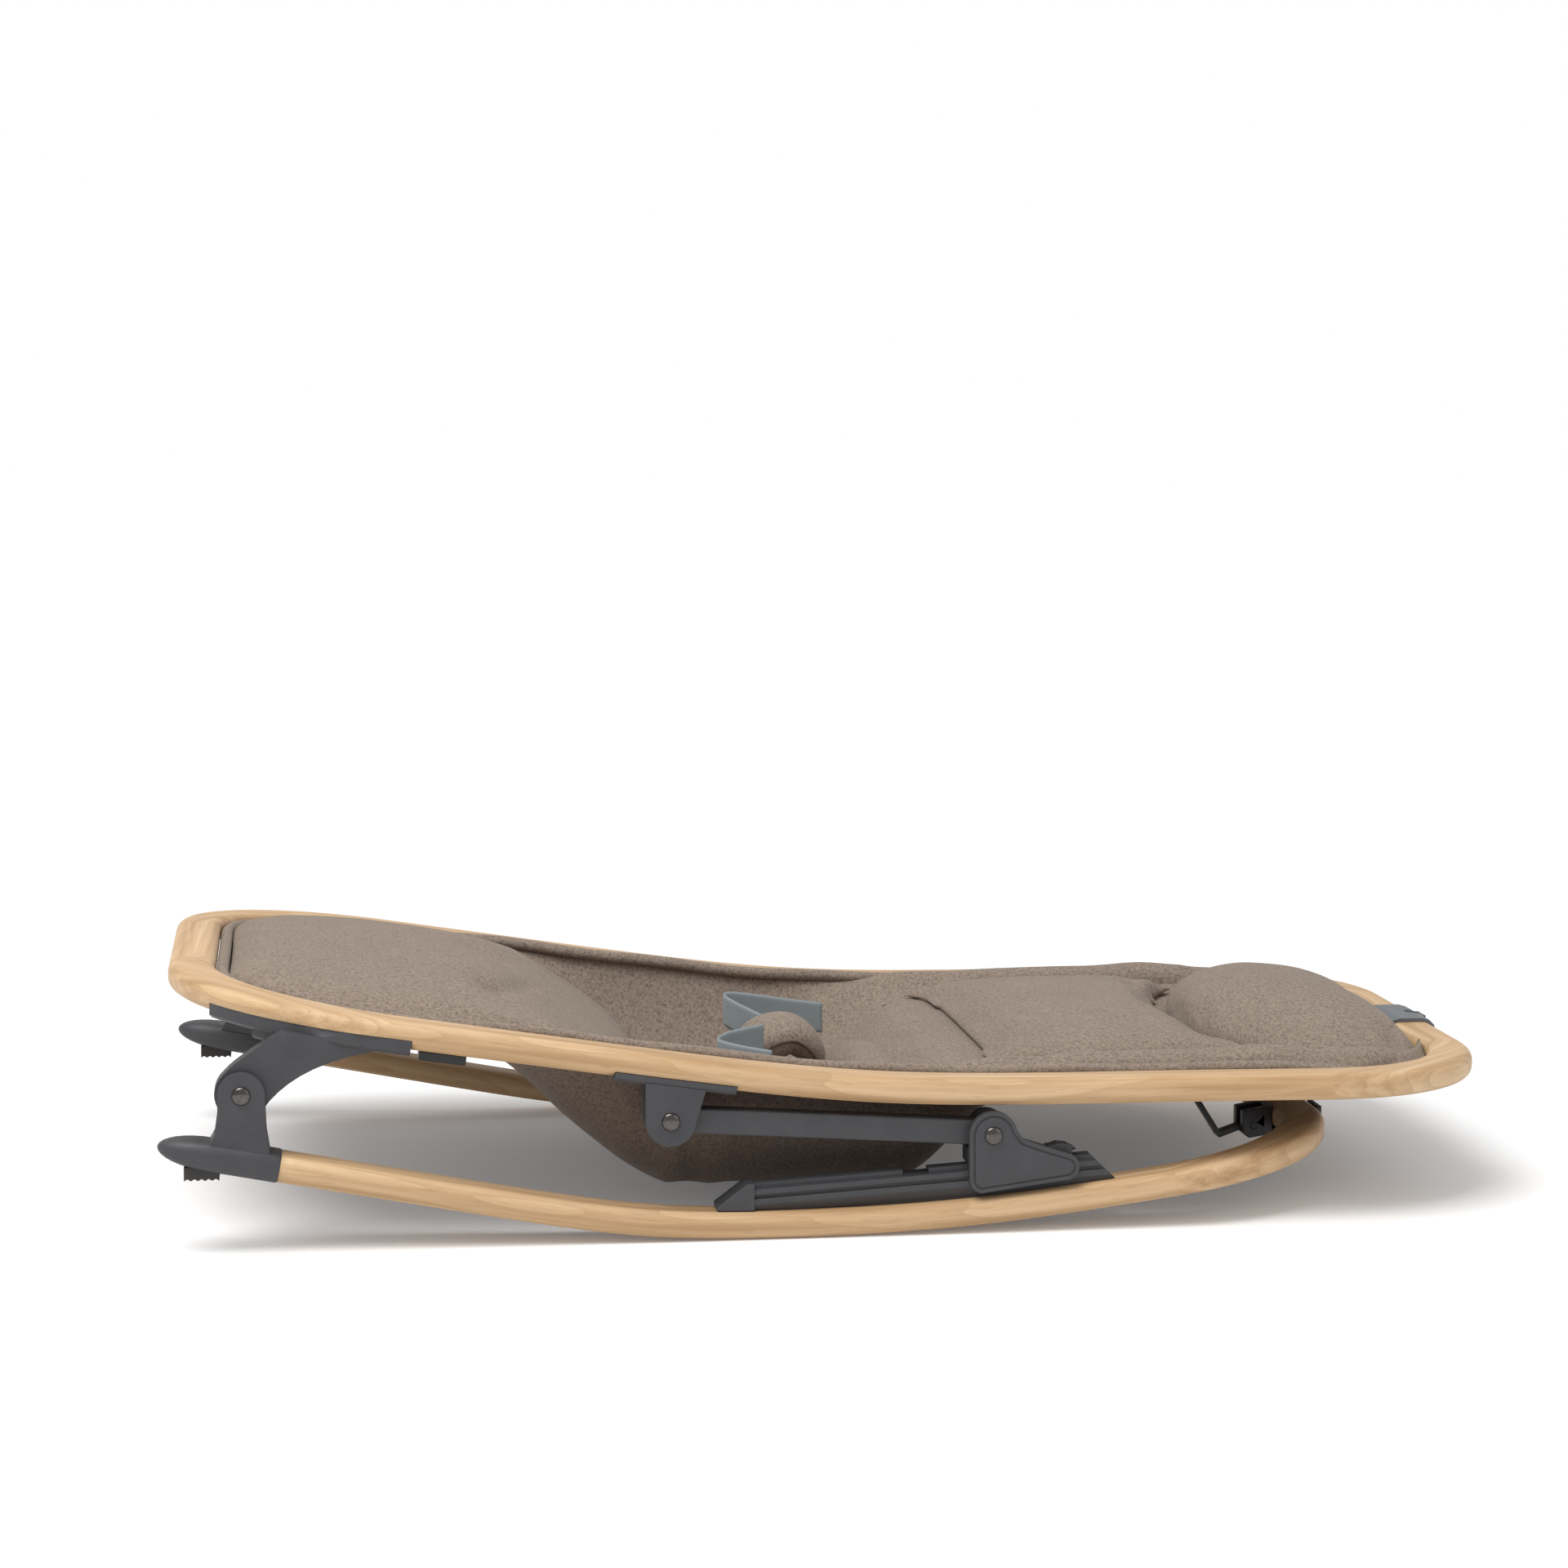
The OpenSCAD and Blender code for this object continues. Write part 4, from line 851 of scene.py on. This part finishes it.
def makePocketSeams():
    # the rolled seam where the leg end's slope meets each side wall of the pocket
    for label, side in (("Left", -1), ("Right", 1)):
        x = np.linspace(pocketSeam["from"], pocketSeam["to"], 36)
        turn = pocketSeam["turnIn"] * blend((x - pocketSeam["from"]) / 60)
        y = side * (innerHalf(x) - pocketSeam["edgeGap"] - turn)
        z = coverOver(x, y) + pocketSeam["lift"]
        piece = tube("pocketSeam" + label, np.stack([x, y, z], -1), pocketSeam["radius"], 12)
        finish(piece, taupeFelt, "seat")


makeCover()
makeEdgeRoll()
makePocketSeams()
print("cover made")

legPad = {"from": footX + 17.5, "to": -94.0, "swell": 4.0,
          "along": (-368, -352, -335, -282, -240, -214, -197, -172, -140, -117, -102, -94),
          "over": (2, 12, 16, 19, 19, 17, 12, 1, -15, -28, -44, -62)}


def makeLegPad():
    # a thick wedge over the cover's slope: its middle height over the ring is read along x, and it falls
    # to its sides
    def edge(v):
        return innerHalf(v) - 4 - 9 * blend((v + 190) / 70)
    x, y = stripGrid(legPad["from"], legPad["to"], 130, 110, lambda v: -edge(v), edge)
    t = np.abs(y) / edge(x)
    middle = np.interp(x, legPad["along"], legPad["over"])
    middle = ringZ(x) + np.apply_along_axis(
        lambda v: np.convolve(np.pad(v, 4, "edge"), np.ones(9) / 9, "valid"), 0, middle)
    rim = np.minimum(ringZ(x) + 3, middle - 1)
    top = rim + (middle - rim) * (1 - np.clip(t, 0, 1) ** 2.4) ** 0.7
    bottom = np.minimum(coverOver(x, y) - 2.0, top - 3.0)
    piece = solidBetween("legPad", x, y, top, bottom)
    inflate(piece, 5.0, 3.0, legPad["swell"])
    crease(piece, dimples=[(-203, -66, 15, 6), (-203, 66, 15, 6), (-178, -40, 22, 3)],
           lines=[([(-214, -96), (-200, -64), (-186, -30), (-176, 4)], 5, 4.0),
                  ([(-214, 96), (-200, 64), (-188, 34)], 5, 3.0),
                  ([(-206, -70), (-196, -104), (-176, -140)], 6, 4.0)])
    subdivide(piece)
    return finish(piece, taupeFelt, "seat", ["leg_pad"])


backPad = {"from": 57.0, "to": 276.0, "halfWidth": 144.0, "corner": 64.0, "turnIn": 30.0, "swell": 5.0,
           "along": (57, 60, 66, 76, 92, 116, 150, 200, 236, 250, 262),
           "top": (50, 56, 64, 74, 86, 95, 99, 99, 98, 94, 88)}


def makeBackPad():
    # a firm mattress: steep rounded seat end, nearly flat crown, falling under the pillow
    half, corner = backPad["halfWidth"], backPad["corner"]

    def edge(v):
        # straight sides that turn in along a quarter ellipse at the seat end
        past = np.maximum(backPad["from"] + corner - v, 0) / corner
        return half - backPad["turnIn"] * (1 - np.sqrt(np.clip(1 - past ** 2, 0.02, 1)))
    x, y = stripGrid(backPad["from"], backPad["to"], 90, 110, lambda v: -edge(v), edge)
    t = np.abs(y) / edge(x)
    profile = np.interp(x, backPad["along"], backPad["top"])
    side = (1 - np.clip(t, 0, 1) ** 2.4) ** 0.55
    bottom = coverOver(x, y) - 1
    top = bottom + 6 + (profile - bottom - 6) * side
    # under the pillow's rim the top sinks, so that the pillow's outline shows
    near = np.hypot((x - pillow["centre"][0]) / pillow["reach"][0], y / pillow["reach"][1])
    top -= 16 * (1 - np.clip((near - 0.9) / 0.25, 0, 1)) ** 2
    piece = solidBetween("backPad", x, y, top, bottom)
    inflate(piece, 5.0, 4.0, backPad["swell"])
    crease(piece, dimples=[(236, -86, 18, 5), (236, 86, 18, 5)],
           lines=[([(238, -120), (226, -60), (222, 0), (226, 60), (238, 120)], 7, 3.0)])
    subdivide(piece)
    return finish(piece, taupeFelt, "seat", ["back_pad"])


pillow = {"centre": (307.0, 0.0), "reach": (73.0, 152.0), "power": (2.0, 3.2), "height": 26.0, "swell": 5.0}


def makePillow():
    # a dome over a superellipse: height falls off as the square root of what is left to the rim
    cx, cy = pillow["centre"]
    a, b = pillow["reach"]
    u, v = np.meshgrid(np.linspace(0, 1, 42), np.linspace(0, 2 * np.pi, 120, endpoint=False), indexing="ij")
    c, s = np.cos(v), np.sin(v)
    k = 2 / np.where(c < 0, *pillow["power"])
    x = cx + a * u * np.sign(c) * np.abs(c) ** k
    y = cy + b * u * np.sign(s) * np.abs(s) ** k
    limit = innerHalf(x) - 5
    y = np.clip(y, -limit, limit)
    x = np.minimum(x, headX - 19)
    rim = ringZ(x) - 2
    tilt = 1 - 0.16 * (x - cx) / a
    top = rim + (pillow["height"] + 7) * np.maximum(1 - u ** 2.1, 0) ** 0.62 * tilt
    bottom = rim - 9 * np.sqrt(np.maximum(1 - u ** 4, 0))
    rows, columns = u.shape
    upper = np.stack([x, y, top], -1).reshape(-1, 3)
    lower = np.stack([x, y, bottom], -1)[:-1].reshape(-1, 3)
    faces = gridFaces(rows, columns, wrapColumns=True)
    count = rows * columns
    down = gridFaces(rows - 1, columns, wrapColumns=True)[:, ::-1] + count
    j = np.arange(columns)
    j2 = (j + 1) % columns
    last = (rows - 1) * columns
    under = count + (rows - 2) * columns
    seam = np.stack([last + j, last + j2, under + j2, under + j], -1)
    faces = np.concatenate([faces[:, ::-1], down[:, ::-1], seam[:, ::-1]])
    piece = meshPiece("headPillow", np.concatenate([upper, lower]) * mm, faces)
    inflate(piece, 5.0, 4.0, pillow["swell"])
    crease(piece, dimples=[(352, -120, 12, 4)], lines=[([(330, -150), (345, -122), (352, -96)], 4, 3.0),
                                                      ([(318, -152), (328, -138), (330, -118)], 4, 2.5)])
    subdivide(piece)
    return finish(piece, taupeFelt, "seat", ["head_pillow"])


bolster = {"from": 84.0, "to": 352.0, "inner": 36.0, "height": 11.0, "swell": 3.5}


def makeBolster(label, side):
    # a soft side wing between the back cushion and the ring, with three bulges along it
    x, y = stripGrid(bolster["from"], bolster["to"], 130, 26, lambda v: innerHalf(v) - bolster["inner"],
                     lambda v: innerHalf(v) - 2.5)
    s = (x - bolster["from"]) / (bolster["to"] - bolster["from"])
    t = (y - (innerHalf(x) - bolster["inner"])) / (bolster["inner"] - 2.5)
    wave = 2.4 * np.cos((x - 150) / 15.5) * blend((x - 190) / 60) * (1 - 0.5 * blend((x - 320) / 30))
    ends = np.sqrt(np.clip(1 - (2 * s - 1) ** 6, 0, 1)) * blend((x - 80) / 50)
    hump = np.sqrt(np.clip(1 - (2 * np.clip(t, 0, 1) - 1) ** 2, 0, 1))
    top = ringZ(x) + 1 + (bolster["height"] + 2.5 + wave) * ends * hump
    bottom = np.minimum(coverOver(x, y), ringZ(x) - 6)
    piece = solidBetween("sideBolster" + label, x, y, top, bottom)
    if side < 0:
        co = coordinates(piece.data)
        co[:, 1] *= -1
        piece.data.vertices.foreach_set("co", co.ravel())
        piece.data.flip_normals()
    inflate(piece, 4.5, 3.0, bolster["swell"])
    subdivide(piece)
    return finish(piece, taupeFelt, "seat", ["side_bolster_" + label.lower()])


seatRoll = {"from": 13.0, "to": 66.0, "halfWidth": 112.0, "level": 44.0, "height": 29.0, "swell": 4.0}


def makeSeatRoll():
    # the low roll at the pocket's head side, in front of the back cushion
    half = seatRoll["halfWidth"]
    x, y = stripGrid(seatRoll["from"], seatRoll["to"], 34, 100, lambda v: 0 * v - half,
                     lambda v: 0 * v + half)
    s = 2 * (x - seatRoll["from"]) / (seatRoll["to"] - seatRoll["from"]) - 1
    t = np.abs(y) / half
    hump = np.sqrt(np.clip(1 - s ** 2, 0, 1))
    top = seatRoll["level"] + seatRoll["height"] * hump * (1 - np.clip(t, 0, 1) ** 2.5 * 0.75)
    bottom = np.minimum(np.maximum(coverUnder(x, y) + 3, 20), top - 4)
    piece = solidBetween("seatRoll", x, y, top, bottom)
    inflate(piece, 5.0, 4.0, seatRoll["swell"])
    subdivide(piece)
    return finish(piece, taupeFelt, "seat", ["seat_roll"])


makeLegPad()
makeBackPad()
makePillow()
makeBolster("Left", -1)
makeBolster("Right", 1)
makeSeatRoll()
print("cushions made")

tongue = {"route": [(-42, 20, 26, 6), (-42, 45, 27, 9), (-39, 66, 29, 12), (-30, 80, 30, 14),
                    (-13, 84, 28, 13), (0, 74, 25, 11), (6, 58, 20, 8)], "sides": 40}


def makeTongue():
    # a flat oval section carried up and over, thinner towards its rounded tip
    route = smoothRoute(tongue["route"], 60)
    centre = np.stack([route[:, 0], 0 * route[:, 0], route[:, 1]], -1)
    ahead = unit(np.gradient(centre, axis=0))
    across = np.stack([-ahead[:, 2], 0 * ahead[:, 0], ahead[:, 0]], -1)
    a = np.linspace(0, 2 * np.pi, tongue["sides"], endpoint=False)
    tip = np.sqrt(np.clip(1 - np.linspace(0, 1, 60) ** 7, 0, 1)) * 0.97 + 0.03
    wide = (route[:, 2] * tip)[:, None, None] * (np.sign(np.cos(a)) * np.abs(np.cos(a)) ** 0.8)[None, :, None]
    thick = ((route[:, 3] * tip)[:, None, None]
             * (np.sign(np.sin(a)) * np.abs(np.sin(a)) ** 0.9)[None, :, None])
    points = centre[:, None] + wide * np.array([0, 1, 0]) + thick * across[:, None]
    faces = gridFaces(60, tongue["sides"], wrapColumns=True)
    fan = np.arange(1, tongue["sides"] - 1)
    first = np.stack([0 * fan, fan + 1, fan, fan], -1)
    last = np.stack([0 * fan, fan, fan + 1, fan + 1], -1) + 59 * tongue["sides"]
    faces = np.concatenate([faces, first, last])
    piece = meshPiece("crotchTongue", points.reshape(-1, 3) * mm, faces)
    subdivide(piece)
    finish(piece, taupeFelt, "seat", ["crotch_tongue"])
    # the bound seam round the tongue's edge
    rim = [centre + side * (route[:, 2] * tip)[:, None] * np.array([0, 1, 0]) for side in (-1, 1)]
    loop = np.concatenate([rim[0], rim[1][::-1]])
    seam = tube("tongueSeam", loop, 1.3, 8)
    finish(seam, paintedShadeAndSeamFelt, "seat")


strap = {"width": 20.0, "thick": 1.6, "tackBack": 9, "tackSwing": 1.6, "tackLength": 16.0, "tackThread": 0.35,
         "right": [(-16, 35, 76), (-30, 42, 82), (-43, 49, 88), (-48, 57, 91), (-42, 65, 91), (-26, 72, 88),
                   (-2, 80, 83), (20, 86, 79)],
         "left": [(-34, -35, 87), (-46, -42, 86), (-58, -50, 85), (-65, -60, 83), (-60, -70, 82),
                  (-48, -76, 80), (-34, -80, 78)]}


def makeStrap(label, route):
    # webbing on edge: a rounded strip carried along a smooth route, with its length and width as the band map
    path = smoothRoute(route, 70)
    ahead = np.gradient(path, axis=0)
    ahead[:, 2] = 0
    ahead = unit(ahead)
    out = np.stack([-ahead[:, 1], ahead[:, 0], 0 * ahead[:, 0]], -1)
    w, h = strap["width"] / 2, strap["thick"] / 2
    up = np.concatenate([np.linspace(-w, w, 13), np.linspace(w, -w, 13)])
    off = np.concatenate([np.full(13, h), np.full(13, -h)])
    off[[0, 12, 13, 25]] *= 0.45
    points = path[:, None] + out[:, None] * off[None, :, None] + np.array([0, 0, 1]) * up[None, :, None]
    run = np.concatenate([[0], np.cumsum(np.linalg.norm(np.diff(path, axis=0), axis=1))])
    uv = np.stack([run[:, None] + 0 * up, up[None, :] + 0 * run[:, None]], -1) * mm
    faces = gridFaces(70, 26, wrapColumns=True)
    ends = np.array([[k, k + 1, 24 - k, 25 - k] for k in range(12)])
    faces = np.concatenate([faces, ends[:, ::-1], ends + 69 * 26])
    piece = meshPiece("waistStrap" + label, points.reshape(-1, 3) * mm, faces, uv=uv.reshape(-1, 2))
    finish(piece, greyWebbing, "seat", ["waist_strap_" + label.lower()])
    # the zigzag of stitches that holds the folded end
    t = np.linspace(0, 1, 90)
    at = -strap["tackBack"]
    swing = strap["tackSwing"] * np.sign(np.sin(t * 60))
    zig = (path[at] + out[at] * (h + 0.2) + ahead[at] * swing[:, None]
           + np.array([0, 0, 1]) * ((t - 0.5) * strap["tackLength"])[:, None])
    stitch = tube("barTack" + label, zig, strap["tackThread"], 6)
    finish(stitch, paintedShadeAndSeamFelt, "seat")


makeTongue()
makeStrap("Left", strap["left"])
makeStrap("Right", strap["right"])
print("harness made")
